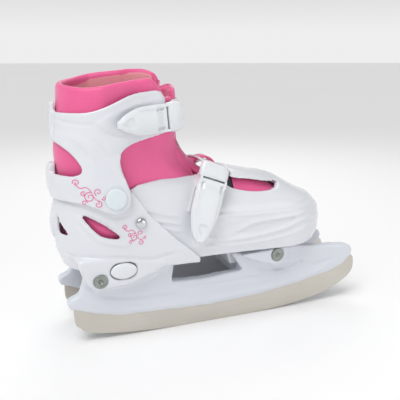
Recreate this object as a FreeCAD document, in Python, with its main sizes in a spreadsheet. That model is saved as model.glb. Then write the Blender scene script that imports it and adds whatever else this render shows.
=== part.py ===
import FreeCAD, Part
import math
import os
import re

import Sketcher
from FreeCAD import Rotation, Vector

# A child's adjustable ice skate for the right foot, in millimetres. +X points to the toe, +Y to the
# inner side of the foot and +Z up. The origin is on the ice, under the middle of the whole skate.
# Each piece is drawn about the boot's own mid-plane and then moved sideways by side_shift.

SIZES = (
    # chassis and blades
    ("blade_back", -117.5), ("blade_front", 128.2), ("blade_gap", 50.0), ("blade_thick", 3.0),
    ("rail_thick", 8.0), ("tower_top", 56.0), ("lug_out", 36.0), ("tower_out", 31.0),
    # boot form: the outside of the soft liner at the heel and at the ball of the foot
    ("heel_centre", -89.0), ("heel_radius", 29.5), ("ball_centre", 56.0), ("ball_radius", 38.5),
    ("shin_centre", -59.0), ("shin_radius", 28.0),
    # walls and the gaps between the layers, from the liner outwards
    ("liner_thick", 4.0), ("slide_room", 0.8), ("liner_gap", 1.0), ("wall", 2.5), ("shell_gap", 0.5),
    ("cuff_gap", 0.5), ("upper_gap", 1.2), ("sole_thick", 3.0), ("rest_gap", 0.3),
    # ankle pivot
    ("pivot_x", -86.0), ("pivot_z", 111.8), ("pivot_radius", 5.0), ("cap_radius", 7.6),
    ("run_fit", 0.05),
    # size adjuster
    ("button_x", -81.6), ("button_z", 56.5), ("button_long", 10.0), ("button_high", 6.0),
    ("stem_z", 53.0), ("stem_radius", 1.8), ("size_travel", 20.0),
    # fasteners
    ("rear_bolt_x", -98.8), ("rear_bolt_z", 50.6), ("front_bolt_x", 46.2), ("front_bolt_z", 52.5),
    ("bolt_radius", 2.5), ("head_radius", 5.4), ("rivet_x", -68.0), ("rivet_z", 91.8),
    ("rivet_radius", 2.2),
    # buckles
    ("ear_thick", 1.6), ("pin_radius", 1.0), ("knuckle_radius", 2.3), ("strap_thick", 1.6),
    ("strap_wide", 14.0), ("lever_gap", 0.3),
    # placing
    ("side_shift", 3.8),
)

# Boot form by height: name, height, then the heel circle and the toe circle of the plan outline,
# each as an offset from the heel and ball sizes: centre, radius, centre, radius. The last number
# says how much of a roof's thickness the level drops by when a layer is drawn inside another.
LEVELS = (
    ("sole", 56.0, 3.5, -1.5, -2.5, -2.5, 0.0),
    ("welt", 68.0, 0.2, -0.2, 0.0, -0.5, 0.0),
    ("ball", 78.0, -0.2, 0.0, 0.0, 0.0, 0.4),
    ("vamp", 88.0, -0.6, 0.0, -0.5, -1.2, 0.8),
    ("instep", 97.0, -0.6, 0.0, -5.5, -4.5, 1.0),
    ("throat", 106.0, 0.3, 0.0, -20.0, -11.0, 1.0),
    ("ankle", 116.0, 1.4, 0.0, -36.0, -17.0, 1.0),
    ("crown", 124.0, 1.5, 0.0, -64.0, -22.5, 1.0),
)

# Upper of the liner by height, as offsets from the heel and shin sizes.
UPPER = (
    ("malleolus", 122.0, -2.0, 0.0, 9.0, -1.0),
    ("tendon", 142.0, -1.0, 2.5, 1.5, -0.5),
    ("calf", 160.0, 2.5, 3.5, 0.0, 0.0),
    ("collar", 180.0, 4.5, 4.5, -1.0, 1.0),
    ("rim", 202.0, 7.0, 4.5, -2.0, 1.0),
)

doc = FreeCAD.newDocument("ice_skate")
sheet = doc.addObject("Spreadsheet::Sheet", "Sizes")
pieces = []


def fill_sheet():
    """Write every driving size into the sheet, one named cell a row."""
    rows = list(SIZES)
    for name, height, heel_x, heel_r, toe_x, toe_r, share in LEVELS:
        rows += [(name + "_height", height), (name + "_heel_x", heel_x), (name + "_heel_r", heel_r)]
        rows += [(name + "_toe_x", toe_x), (name + "_toe_r", toe_r), (name + "_share", share)]
    for name, height, back_x, back_r, front_x, front_r in UPPER:
        rows += [(name + "_height", height), (name + "_back_x", back_x), (name + "_back_r", back_r)]
        rows += [(name + "_front_x", front_x), (name + "_front_r", front_r)]
    for row, (name, number) in enumerate(rows, 1):
        sheet.set("A%d" % row, name)
        sheet.set("B%d" % row, str(number))
        sheet.setAlias("B%d" % row, name)
    doc.recompute()


def cells(expression):
    """Turn the bare size names of an expression into cells of the sheet."""
    return re.sub(r"\b([a-z][a-z_]+)\b", r"Sizes.\1", str(expression))


def value(expression):
    """Work an expression of sizes out to a number."""
    return float(sheet.evalExpression(cells(expression)))


def bind(thing, prop, expression):
    """Let an expression of sizes drive one property."""
    thing.setExpression(prop, cells(expression))


def keep(thing, label):
    """Name a finished piece, move it to the skate's frame and put it on the list to write."""
    thing.Label = label
    bind(thing, "Placement.Base.y", "side_shift")
    pieces.append(thing)
    return thing


# ---- sketches ----

def new_body(name):
    return doc.addObject("PartDesign::Body", name)


def plane_of(body, role):
    return next(f for f in body.Origin.OriginFeatures if f.Role == role)


def new_sketch(body, name, role, offset="0"):
    """Attach a sketch to one of the body's planes, moved off it along the plane's normal."""
    sketch = body.newObject("Sketcher::SketchObject", name)
    sketch.AttachmentSupport = (plane_of(body, role), "")
    sketch.MapMode = "FlatFace"
    bind(sketch, "AttachmentOffset.Base.z", offset)
    return sketch


def pin_down(sketch, kind, geometry, point, expression):
    """Give one point of a sketch a driven distance from the origin."""
    index = sketch.addConstraint(Sketcher.Constraint(kind, -1, 1, geometry, point, value(expression)))
    bind(sketch, "Constraints[%d]" % index, expression)


def polygon(sketch, points):
    """Draw a closed outline of straight edges through points given as pairs of expressions."""
    first = sketch.GeometryCount
    spots = [Vector(value(x), value(y), 0) for x, y in points]
    count = len(points)
    for i in range(count):
        sketch.addGeometry(Part.LineSegment(spots[i], spots[(i + 1) % count]))
    for i in range(count):
        following = first + (i + 1) % count
        sketch.addConstraint(Sketcher.Constraint("Coincident", first + i, 2, following, 1))
        pin_down(sketch, "DistanceX", first + i, 1, points[i][0])
        pin_down(sketch, "DistanceY", first + i, 1, points[i][1])


def curved(points):
    """Ease a run of outline points into a smooth curve, with two more points between neighbours."""
    spots = [(value(x), value(y)) for x, y in points]
    eased = []
    for i in range(len(spots) - 1):
        a, b, c, d = (spots[min(max(i + k, 0), len(spots) - 1)] for k in (-1, 0, 1, 2))
        for t in (0.0, 1 / 3, 2 / 3):
            eased.append(tuple("%.3f" % (b[n] + (c[n] - a[n]) * t / 2
                                         + (a[n] - 2.5 * b[n] + 2 * c[n] - d[n] / 2) * t ** 2
                                         + (1.5 * (b[n] - c[n]) + (d[n] - a[n]) / 2) * t ** 3)
                               for n in (0, 1)))
    return tuple(eased) + (points[-1],)


def circle(sketch, x, y, radius):
    """Draw a circle whose centre and radius are driven."""
    centre = Vector(value(x), value(y), 0)
    index = sketch.addGeometry(Part.Circle(centre, Vector(0, 0, 1), value(radius)))
    pin_down(sketch, "DistanceX", index, 3, x)
    pin_down(sketch, "DistanceY", index, 3, y)
    size = sketch.addConstraint(Sketcher.Constraint("Radius", index, value(radius)))
    bind(sketch, "Constraints[%d]" % size, radius)


def slot(sketch, left, right, y, radius):
    """Draw a level slot: two half circles joined by straight edges."""
    plan(sketch, left, radius, right, radius)
    sketch.delConstraint(5)
    sketch.delConstraint(4)
    pin_down(sketch, "DistanceY", 0, 3, y)
    pin_down(sketch, "DistanceY", 1, 3, y)


def plan(sketch, back_x, back_r, front_x, front_r):
    """Draw a boot's plan outline: two circles on the middle line and their outer tangents."""
    xa, ra, xb, rb = value(back_x), value(back_r), value(front_x), value(front_r)
    turn = math.acos((ra - rb) / (xb - xa))
    up = Vector(0, 0, 1)
    back = Part.ArcOfCircle(Part.Circle(Vector(xa, 0, 0), up, ra), turn, 2 * math.pi - turn)
    front = Part.ArcOfCircle(Part.Circle(Vector(xb, 0, 0), up, rb), -turn, turn)
    sketch.addGeometry(back)
    sketch.addGeometry(front)
    sketch.addGeometry(Part.LineSegment(front.EndPoint, back.StartPoint))
    sketch.addGeometry(Part.LineSegment(back.EndPoint, front.StartPoint))
    for one, end_one, two, end_two in ((1, 2, 2, 1), (2, 2, 0, 1), (0, 2, 3, 1), (3, 2, 1, 1)):
        sketch.addConstraint(Sketcher.Constraint("Tangent", one, end_one, two, end_two))
    sketch.addConstraint(Sketcher.Constraint("PointOnObject", 0, 3, -1))
    sketch.addConstraint(Sketcher.Constraint("PointOnObject", 1, 3, -1))
    pin_down(sketch, "DistanceX", 0, 3, back_x)
    pin_down(sketch, "DistanceX", 1, 3, front_x)
    for geometry, radius in ((0, back_r), (1, front_r)):
        index = sketch.addConstraint(Sketcher.Constraint("Radius", geometry, value(radius)))
        bind(sketch, "Constraints[%d]" % index, radius)


# ---- features ----

def extrude(body, kind, sketch, length, midplane=False, away=False):
    """Pad or pocket a sketch by a driven length; no length means right through."""
    feature = body.newObject("PartDesign::" + kind, sketch.Name + "_" + kind.lower())
    feature.Profile = sketch
    feature.Midplane = midplane
    feature.Reversed = away
    if length is None:
        feature.Type = 1
    else:
        bind(feature, "Length", length)
    sketch.Visibility = False
    return feature


def side_pad(body, name, points, width):
    """Pad a side-view outline to a full width about the mid-plane."""
    sketch = new_sketch(body, name, "XZ_Plane")
    polygon(sketch, points)
    return extrude(body, "Pad", sketch, width, midplane=True)


def side_cut(body, name, points, width=None):
    """Cut a side-view outline out of both sides."""
    sketch = new_sketch(body, name, "XZ_Plane")
    polygon(sketch, points)
    return extrude(body, "Pocket", sketch, width, midplane=True)


def side_hole(body, name, x, z, radius, width=None):
    """Bore a round hole across the skate."""
    sketch = new_sketch(body, name, "XZ_Plane")
    circle(sketch, x, z, radius)
    return extrude(body, "Pocket", sketch, width, midplane=True)


def both_sides(body, feature):
    """Repeat a feature of the outer side on the inner side."""
    twin = body.newObject("PartDesign::Mirrored", feature.Name + "_twin")
    twin.Originals = [feature]
    twin.MirrorPlane = (plane_of(body, "XZ_Plane"), [""])
    body.Tip = twin
    return twin


def loft(body, name, kind, outlines):
    """Run a loft through plan outlines given as height and the two circles."""
    sketches = []
    for number, (height, back_x, back_r, front_x, front_r) in enumerate(outlines):
        sketch = new_sketch(body, "%s_plan%d" % (name, number), "XY_Plane", height)
        plan(sketch, back_x, back_r, front_x, front_r)
        sketch.Visibility = False
        sketches.append(sketch)
    feature = body.newObject("PartDesign::" + kind, name + "_loft")
    feature.Profile = sketches[0]
    feature.Sections = sketches[1:]
    feature.Ruled = True
    return feature


def foot_outlines(floor, grow, drop):
    """Plan outlines of one layer of the foot, grown from the liner and lowered under its roof."""
    outlines = []
    for name, *_ in LEVELS:
        height = floor if name == "sole" else "%s_height - (%s) * %s_share" % (name, drop, name)
        outlines.append((height,
                         "heel_centre + %s_heel_x" % name, "heel_radius + %s_heel_r + %s" % (name, grow),
                         "ball_centre + %s_toe_x" % name, "ball_radius + %s_toe_r + %s" % (name, grow)))
    return outlines


def upper_outlines(grow):
    """Plan outlines of one layer of the upper."""
    outlines = []
    for name, *_ in UPPER:
        outlines.append((name + "_height",
                         "heel_centre + %s_back_x" % name, "heel_radius + %s_back_r + %s" % (name, grow),
                         "shin_centre + %s_front_x" % name, "shin_radius + %s_front_r + %s" % (name, grow)))
    return outlines


SHELL_IN = "liner_gap"
SHELL_OUT = "liner_gap + wall"
REAR_IN = "liner_gap + wall + shell_gap"
REAR_OUT = "liner_gap + 2 * wall + shell_gap"
CUFF_IN = "liner_gap + 2 * wall + shell_gap + cuff_gap"
CUFF_OUT = "liner_gap + 3 * wall + shell_gap + cuff_gap"
REAR_SOLE_TOP = "tower_top + sole_thick"
FRONT_SOLE = "tower_top + sole_thick + rest_gap"
FRONT_SOLE_TOP = "tower_top + sole_thick + rest_gap + wall"
LINER_SOLE = "tower_top + sole_thick + 2 * rest_gap + wall"
CAVITY_FLOOR = "tower_top + sole_thick + 2 * rest_gap + wall + liner_thick"


# ---- round pieces across the skate ----

def cross_bar(name, x, z, near, far, radius):
    """Make a round bar across the skate, from near to far off the mid-plane on the outer side."""
    bar = doc.addObject("Part::Cylinder", name)
    bind(bar, "Radius", radius)
    bind(bar, "Height", "(%s) - (%s)" % (far, near))
    bar.Placement.Rotation = Rotation(Vector(1, 0, 0), 90)
    bind(bar, "Placement.Base.x", x)
    bind(bar, "Placement.Base.y", "-(%s)" % near)
    bind(bar, "Placement.Base.z", z)
    return bar


def joined(name, parts):
    """Fuse overlapping bars into one solid."""
    whole = doc.addObject("Part::MultiFuse", name)
    whole.Shapes = parts
    return whole


def pair(name, one):
    """Hold a piece and its mirror twin as two separate solids."""
    twin = doc.addObject("Part::Mirroring", name + "_twin")
    twin.Source = one
    twin.Normal = Vector(0, 1, 0)
    both = doc.addObject("Part::Compound", name)
    both.Links = [one, twin]
    return both


# ---- blades and chassis ----

def blade_points():
    """Side outline of a runner: a long rocker below, a straight root inside the rail above."""
    return (("blade_back", "17.1"), ("blade_back + 3.5", "12"), ("blade_back + 10.5", "7.5"),
            ("blade_back + 26", "3.6"), ("blade_back + 54", "0.9"), ("-28", "0"), ("34", "0"),
            ("56", "1.4"), ("blade_front - 44", "4.6"), ("blade_front - 22", "10.8"),
            ("blade_front - 6.5", "19"), ("blade_front - 0.8", "26"), ("blade_front", "33"),
            ("blade_front - 1.5", "38"), ("blade_front - 8", "42"), ("blade_front - 28", "34"),
            ("60", "28"), ("0", "22"), ("-50", "23"), ("blade_back + 17", "29"),
            ("blade_back + 1", "31"))


def blade(label, side):
    """One steel runner, side -1 on the outer side of the foot and 1 on the inner."""
    body = new_body(label)
    sketch = new_sketch(body, label + "_outline", "XZ_Plane", "%d * blade_gap / 2" % -side)
    polygon(sketch, blade_points())
    extrude(body, "Pad", sketch, "blade_thick", midplane=True)
    keep(body, label)


def chassis():
    """Twin-rail holder moulded round the runners, with a rear tower, a front tower and two decks."""
    body = new_body("blade_holder")
    rails = (("blade_back - 3.3", "29"), ("blade_back + 16.5", "22"), ("blade_back + 32.5", "18.3"),
             ("-39", "16"), ("-10.5", "14.8"), ("35", "16.8"), ("blade_front - 60", "21"),
             ("blade_front - 26", "27.6"), ("blade_front - 12", "32.6"), ("blade_front - 4.5", "39.7"),
             ("blade_front - 3.7", "44.8"), ("blade_front - 6.3", "49.2"), ("blade_front - 11.7", "50.8"),
             ("blade_front - 27", "52.2"), ("front_bolt_x + 16", "tower_top"),
             ("front_bolt_x - 38", "tower_top"), ("front_bolt_x - 28", "40.5"), ("-15", "38.5"),
             ("-42.5", "39.3"), ("-40", "tower_top"), ("rear_bolt_x - 10", "tower_top"),
             ("rear_bolt_x - 12", "46"), ("blade_back + 4", "39"), ("blade_back - 3.9", "35.6"),
             ("blade_back - 5.1", "32.8"))
    side_pad(body, "rails", rails, "blade_gap + rail_thick")
    tower = (("rear_bolt_x - 10", "tower_top"), ("rear_bolt_x - 8", "45"), ("rear_bolt_x - 3", "41"),
             ("-70", "42.5"), ("-48", "51"), ("-42", "tower_top"))
    side_pad(body, "tower", tower, "2 * tower_out")
    lug = (("front_bolt_x - 15", "47.6"), ("front_bolt_x - 3", "front_bolt_z - 8.2"),
           ("front_bolt_x + 5", "front_bolt_z - 7.2"), ("front_bolt_x + 9.2", "front_bolt_z - 1"),
           ("front_bolt_x + 9", "58.5"), ("front_bolt_x - 34", "tower_top"))
    side_pad(body, "lug", lug, "2 * lug_out")
    span = "blade_gap - rail_thick"
    side_cut(body, "channel", (("-200", "-10"), ("200", "-10"), ("200", "90"), ("-200", "90")), span)
    rear_deck = (("rear_bolt_x - 9", "44"), ("-56", "44"), ("-56", "tower_top"),
                 ("rear_bolt_x - 9", "tower_top"))
    side_pad(body, "rear_deck", rear_deck, span + " + 1")
    front_deck = (("front_bolt_x - 30", "33"), ("front_bolt_x + 18", "33"),
                  ("front_bolt_x + 18", "front_bolt_z - 9"), ("front_bolt_x - 30", "front_bolt_z - 9"))
    side_pad(body, "front_deck", front_deck, span + " + 1")
    track = new_sketch(body, "track", "XZ_Plane", "blade_gap / 2 - rail_thick / 2")
    polygon(track, (("-150", "45.4"), ("-50", "45.4"), ("-50", "tower_top + 1"), ("-150", "tower_top + 1")))
    extrude(body, "Pocket", track, "3.6")
    side_hole(body, "rear_bore", "rear_bolt_x", "rear_bolt_z", "bolt_radius")
    side_hole(body, "front_bore", "front_bolt_x", "front_bolt_z", "bolt_radius")
    seat = new_sketch(body, "front_seat", "XZ_Plane", "lug_out - 2")
    circle(seat, "front_bolt_x", "front_bolt_z", "head_radius + 0.6")
    both_sides(body, extrude(body, "Pocket", seat, "5", away=True))
    stem = new_sketch(body, "stem_bore", "XZ_Plane", "0")
    circle(stem, "button_x", "stem_z", "stem_radius + 0.3")
    extrude(body, "Pocket", stem, None, away=True)
    spring = new_sketch(body, "spring_seat", "XZ_Plane", "tower_out - 6")
    circle(spring, "button_x", "stem_z", "stem_radius + 1")
    extrude(body, "Pocket", spring, "10", away=True)
    groove = new_sketch(body, "front_groove", "XZ_Plane", "blade_gap / 2 + rail_thick / 2 - 2.5")
    polygon(groove, (("front_bolt_x - 16", "46"), ("front_bolt_x + 2", "40"), ("front_bolt_x + 38", "42"),
                     ("front_bolt_x + 20", "37"), ("front_bolt_x + 4", "36")))
    both_sides(body, extrude(body, "Pocket", groove, "5", away=True))
    for name, side in (("root_outer", 1), ("root_inner", -1)):
        root = new_sketch(body, name, "XZ_Plane", "%d * blade_gap / 2" % side)
        polygon(root, blade_points())
        extrude(body, "Pocket", root, "blade_thick", midplane=True)
    keep(body, "blade_holder")


# ---- boot shells ----

def shell_edge():
    """Front edge of the rear shell in side view, top to bottom."""
    return (("-72", "113.5"), ("-60", "96"), ("-40", "76"), ("-22", "60"), ("-22", "tower_top - 20"))


def rear_shell():
    """Heel cup with side skirts that straddle the rear tower."""
    body = new_body("rear_shell")
    outlines = foot_outlines("tower_top", REAR_OUT, "0")[:7]
    loft(body, "heel", "AdditiveLoft", outlines)
    skirt = (("-114", "68"), ("-113.3", "60"), ("-110", "51"), ("rear_bolt_x - 4.5", "43.4"),
             ("-77", "44.6"), ("-54", "53.4"), ("-45", "60"), ("-60", "66"))
    side_pad(body, "skirt", skirt, "2 * lug_out")
    side_cut(body, "straddle", (("-200", "20"), ("0", "20"), ("0", "tower_top"), ("-200", "tower_top")),
             "2 * tower_out")
    rib = (("-128.2", "90"), ("-127.6", "80"), ("-124", "76"), ("-118", "76"), ("-118", "104"),
           ("-125.6", "102"))
    side_pad(body, "rib", rib, "12")
    loft(body, "heel_room", "SubtractiveLoft",
         [(REAR_SOLE_TOP,) + foot_outlines("tower_top", REAR_IN, "0")[0][1:]]
         + foot_outlines("tower_top", REAR_IN, "0")[1:7])
    side_cut(body, "front_edge", (("140", "140"), ("-72", "140")) + shell_edge() + (("140", "30"),))
    side_cut(body, "top_edge", (("-140", "ankle_height - 1.5"), ("-60", "ankle_height - 1.5"),
                                ("-60", "140"), ("-140", "140")))
    leaf = curved((("-110.3", "100.6"), ("-101", "96.2"), ("-91", "89.7"), ("-81.5", "80.8")))
    leaf += curved((("-86", "81"), ("-96.4", "84"), ("-103.5", "91"), ("-109.5", "99.5")))
    side_cut(body, "leaf_window", leaf)
    heel = new_sketch(body, "heel_windows", "YZ_Plane", "-150")
    for side in (-1, 1):
        polygon(heel, (("%d * 9" % side, "98"), ("%d * 9" % side, "83"), ("%d * 22" % side, "83")))
    extrude(body, "Pocket", heel, "45", away=True)
    side_hole(body, "pivot_bore", "pivot_x", "pivot_z", "pivot_radius")
    side_hole(body, "guide_bore", "rivet_x", "rivet_z", "rivet_radius")
    side_hole(body, "bolt_bore", "rear_bolt_x", "rear_bolt_z", "bolt_radius")
    seat = new_sketch(body, "bolt_seat", "XZ_Plane", "lug_out - 1.6")
    circle(seat, "rear_bolt_x", "rear_bolt_z", "head_radius + 0.5")
    both_sides(body, extrude(body, "Pocket", seat, "5", away=True))
    hole = new_sketch(body, "button_hole", "XZ_Plane", "tower_out - 2")
    slot(hole, "button_x - button_long + button_high", "button_x + button_long - button_high",
         "button_z", "button_high + 0.3")
    extrude(body, "Pocket", hole, "12", away=True)
    keep(body, "rear_shell")


def front_shell():
    """Toe cap and instep wings that slide inside the rear shell, on a slotted block in the channel."""
    body = new_body("front_shell_blank")
    loft(body, "toe", "AdditiveLoft", foot_outlines(FRONT_SOLE, SHELL_OUT, "0"))
    block = (("front_bolt_x - 36", "front_bolt_z - 8.5"), ("front_bolt_x + 24", "front_bolt_z - 8.5"),
             ("front_bolt_x + 32", FRONT_SOLE + " + 1"), ("front_bolt_x - 40", FRONT_SOLE + " + 1"))
    side_pad(body, "block", block, "blade_gap - rail_thick - 1")
    loft(body, "toe_room", "SubtractiveLoft", foot_outlines(FRONT_SOLE_TOP, SHELL_IN, "wall"))
    side_cut(body, "rear_end", (("-150", "50"), ("rivet_x - 11", "50"), ("rivet_x - 11", "rivet_z - 10"),
                                ("rivet_x - 22.5", "rivet_z - 3.6"), ("rivet_x - 25.5", "rivet_z"),
                                ("rivet_x - 25", "rivet_z + 5"), ("rivet_x - 21", "rivet_z + 7.5"),
                                ("rivet_x - 8", "rivet_z + 9"), ("rivet_x - 8", "140"), ("-150", "140")))
    side_cut(body, "ankle_edge", (("-80", "112"), ("-68", "118.5"), ("-50", "121"), ("-20", "121"),
                                  ("-2", "118"), ("10", "118"), ("10", "140"), ("-80", "140")))
    throat = new_sketch(body, "throat", "XY_Plane", "80")
    polygon(throat, (("-150", "-21"), ("-9", "-21"), ("-2", "-16"), ("-2", "16"), ("-9", "21"),
                     ("-150", "21")))
    extrude(body, "Pocket", throat, "60", away=True)
    slots = new_sketch(body, "toe_slots", "XZ_Plane", "15")
    lower = curved((("-3.5", "116.5"), ("4.3", "112"), ("9.1", "109.4"), ("21.6", "106.4"), ("34", "105.4"),
                    ("44", "105.8"), ("50.5", "107"), ("53", "109")))
    upper = curved((("50", "110.2"), ("36.4", "112.4"), ("24", "115"), ("12", "116.6"), ("4", "119.5")))
    polygon(slots, (("-14", "125"),) + lower + upper + (("0", "125"),))
    both_sides(body, extrude(body, "Pocket", slots, "30", away=True))
    bolt_slot = new_sketch(body, "bolt_slot", "XZ_Plane")
    slot(bolt_slot, "front_bolt_x - size_travel", "front_bolt_x", "front_bolt_z", "4.4")
    extrude(body, "Pocket", bolt_slot, None, midplane=True)
    guide = new_sketch(body, "guide_slot", "XZ_Plane")
    slot(guide, "rivet_x - size_travel", "rivet_x", "rivet_z", "rivet_radius + 0.4")
    extrude(body, "Pocket", guide, None, midplane=True)
    size_bar = new_sketch(body, "size_bar", "XZ_Plane", "blade_gap / 2 - rail_thick / 2 - 3")
    polygon(size_bar, (("front_bolt_x - 34", "53"), ("front_bolt_x - 34", "tower_top - 0.3"),
                       ("button_x - size_travel - 6", "tower_top - 0.3"),
                       ("button_x - size_travel - 6", "stem_z - 5.6"), ("button_x + 7", "stem_z - 5.6"),
                       ("button_x + 14", "53")))
    extrude(body, "Pad", size_bar, "2.4")
    return body


# ---- liner ----

def liner_foot():
    """Padded foot of the liner, hollow for the foot and open under the upper."""
    body = new_body("liner_foot")
    loft(body, "foot", "AdditiveLoft",
         foot_outlines(LINER_SOLE, "-slide_room", "wall + liner_gap"))
    room = foot_outlines(CAVITY_FLOOR, "-liner_thick", "wall + liner_gap + liner_thick")
    loft(body, "foot_room", "SubtractiveLoft", room[:1] + room[2:])
    side_cut(body, "foot_top", (("-140", "114"), ("-80", "114"), ("-60", "117"), ("-60", "140"),
                                ("-140", "140")))
    leg = new_sketch(body, "leg_opening", "XY_Plane", "100")
    plan(leg, "heel_centre + 1", "heel_radius - liner_thick", "-25", "18.5")
    extrude(body, "Pocket", leg, "60", away=True)
    keep(body, "liner_foot")


def trim_upper(body, name, foot):
    """Cut the upper's slanting foot, its slanting rim and the gap that the tongue fills."""
    side_cut(body, name + "_foot", (("-150", "90"), ("0", "90"), ("0", foot + " + 40"), ("-150", foot)))
    side_cut(body, name + "_rim", (("-140", "186"), ("-104", "190"), ("-72", "197.5"), ("-40", "200.5"),
                                   ("0", "200.5"), ("0", "230"), ("-140", "230")))
    tilt = new_sketch(body, name + "_tilt", "YZ_Plane")
    polygon(tilt, (("-60", "188"), ("60", "206"), ("60", "240"), ("-60", "240")))
    extrude(body, "Pocket", tilt, None, midplane=True)
    gap = new_sketch(body, name + "_gap", "XY_Plane", "90")
    polygon(gap, (("-52", "-13"), ("0", "-13"), ("0", "13"), ("-52", "13")))
    extrude(body, "Pocket", gap, "150", away=True)


def liner_upper():
    """Padded ankle sleeve of the liner and the thin soft lining bonded inside its mouth."""
    body = new_body("liner_ankle")
    loft(body, "sleeve", "AdditiveLoft", upper_outlines("0"))
    loft(body, "sleeve_room", "SubtractiveLoft", upper_outlines("-liner_thick"))
    trim_upper(body, "sleeve", "113.5")
    keep(body, "liner_ankle")
    lining = new_body("collar_lining")
    loft(lining, "lining", "AdditiveLoft", upper_outlines("-liner_thick"))
    loft(lining, "lining_room", "SubtractiveLoft", upper_outlines("-liner_thick - 1.2"))
    trim_upper(lining, "lining", "140")
    keep(lining, "collar_lining")


def tongue():
    """Padded tongue in two lengths, one on each side of the ankle's bend."""
    upper = new_body("tongue_upper")
    points = (("-31.2", "199.5"), ("-37", "200.2"), ("-39", "176"), ("-38", "153"), ("-35", "149.5"),
              ("-31.6", "152"), ("-31.2", "164"))
    side_pad(upper, "tongue_top", points, "25.4")
    keep(upper, "tongue_upper")
    lower = new_body("tongue_lower")
    points = (("-35", "136"), ("-27.5", "136.5"), ("-16", "127.2"), ("-12.6", "122.5"),
              ("-12.6", "115"), ("-19", "121"), ("-36", "131"))
    side_pad(lower, "tongue_low", points, "25.4")
    keep(lower, "tongue_lower")


def footbed():
    """Foam insole lying on the liner's floor."""
    body = new_body("footbed")
    sketch = new_sketch(body, "footbed_plan", "XY_Plane", CAVITY_FLOOR)
    plan(sketch, "heel_centre + 3", "heel_radius - liner_thick - 3", "ball_centre - 2",
         "ball_radius - liner_thick - 4")
    extrude(body, "Pad", sketch, "3")
    keep(body, "footbed")


# ---- cuff and pivots ----

def cuff_outlines(low, high):
    """Plan outlines of the cuff: wide over the rear shell, close to the liner above it."""
    low_back = ("heel_centre + 1", "heel_radius + " + low, "-50", "heel_radius + " + low + " - 0.3")
    upper = upper_outlines("upper_gap + " + high)
    return [(height,) + low_back for height in ("97", "105", "113", "malleolus_height")] + upper[1:]


def cuff():
    """Wrap-round ankle cuff with a band above, two arms to the pivots and windows behind."""
    body = new_body("cuff_blank")
    loft(body, "wrap", "AdditiveLoft", cuff_outlines(CUFF_OUT, "wall"))
    loft(body, "wrap_room", "SubtractiveLoft", cuff_outlines(CUFF_IN, "0"))
    side_cut(body, "cuff_top", (("-140", "172.5"),)
             + curved((("-118", "171"), ("-101", "172"), ("-87", "176.7"), ("-73.6", "182.6"), ("-61", "185"),
                       ("-50", "185"), ("-46.5", "180")))
             + (("10", "180"), ("10", "215"), ("-140", "215")))
    side_cut(body, "cuff_front", (("10", "200"), ("-46.5", "200"))
             + curved((("-46.5", "155"), ("-61", "151.6"), ("-71", "149"), ("-78", "145"), ("-80.7", "140"),
                       ("-80.6", "132"), ("-78", "124"), ("-74.6", "114"), ("-75.5", "106"), ("-80", "101.5"),
                       ("-86", "100"), ("-92", "101.5"), ("-106", "107.6"), ("-118", "109.2")))
             + (("-140", "109.2"), ("-140", "80"), ("10", "80")))
    petal = curved((("-120", "127.5"), ("-113.5", "127.8"), ("-108.9", "129.4"), ("-107.3", "132.8"),
                    ("-110", "138.4"), ("-114.3", "143.8"), ("-119.3", "148"), ("-124", "151")))
    side_cut(body, "petal_window", (("-140", "127.5"),) + petal + (("-140", "152"),))
    low_knob = (("-125", "112"), ("-128.2", "114"), ("-128.4", "124"), ("-127.6", "131"), ("-126", "134"),
                ("-122.4", "134"), ("-122.4", "126"), ("-124.8", "124"))
    side_pad(body, "low_knob", low_knob, "13")
    high_knob = (("-124.8", "153"), ("-124.4", "165"), ("-123", "177.2"), ("-120.6", "178.6"),
                 ("-119.8", "171"), ("-121.5", "165"), ("-122.8", "153"))
    side_pad(body, "high_knob", high_knob, "13")
    side_hole(body, "cuff_bore", "pivot_x", "pivot_z", "pivot_radius + run_fit")
    return body


def pivots():
    """Hollow-headed pins that hold the cuff to the rear shell, and the caps over them."""
    flange = cross_bar("pin_flange", "pivot_x", "pivot_z", "heel_radius + 2", "heel_radius + 3.5",
                       "pivot_radius + 2")
    shank = cross_bar("pin_shank", "pivot_x", "pivot_z", "heel_radius + 2",
                      "heel_radius + %s + 0.1" % CUFF_OUT, "pivot_radius")
    keep(pair("ankle_pins", joined("ankle_pin", [flange, shank])), "ankle_pivot_pins")
    cap = cross_bar("ankle_cap", "pivot_x", "pivot_z", "heel_radius + %s + 0.1" % CUFF_OUT,
                    "heel_radius + %s + 1.9" % CUFF_OUT, "cap_radius")
    keep(pair("ankle_caps_pair", cap), "ankle_pivot_caps")


# ---- fasteners ----

def bolts():
    """Socket-head bolts of the two towers and the inserts that they screw into."""
    rail_in = "(blade_gap - rail_thick) / 2"
    for label, x, z, near, seat in (("rear", "rear_bolt_x", "rear_bolt_z", rail_in, "lug_out - 1.6"),
                                    ("front", "front_bolt_x", "front_bolt_z", "12", "lug_out - 2")):
        head = cross_bar(label + "_head", x, z, seat, seat + " + 2.2", "head_radius")
        shank = cross_bar(label + "_shank", x, z, near, seat, "bolt_radius")
        socket = cross_bar(label + "_socket", x, z, seat + " + 1", seat + " + 3", "1.5")
        solid = doc.addObject("Part::Cut", label + "_bolt")
        solid.Base = joined(label + "_blank", [head, shank])
        solid.Tool = socket
        keep(pair(label + "_bolt_pair", solid), label + "_bolts")
    barrel = cross_bar("nut_barrel", "front_bolt_x", "front_bolt_z", "13", "19", "4")
    bore = cross_bar("nut_bore", "front_bolt_x", "front_bolt_z", "12", "20", "bolt_radius")
    nut = doc.addObject("Part::Cut", "front_nut")
    nut.Base = barrel
    nut.Tool = bore
    keep(pair("front_nut_pair", nut), "front_barrel_nuts")


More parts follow.
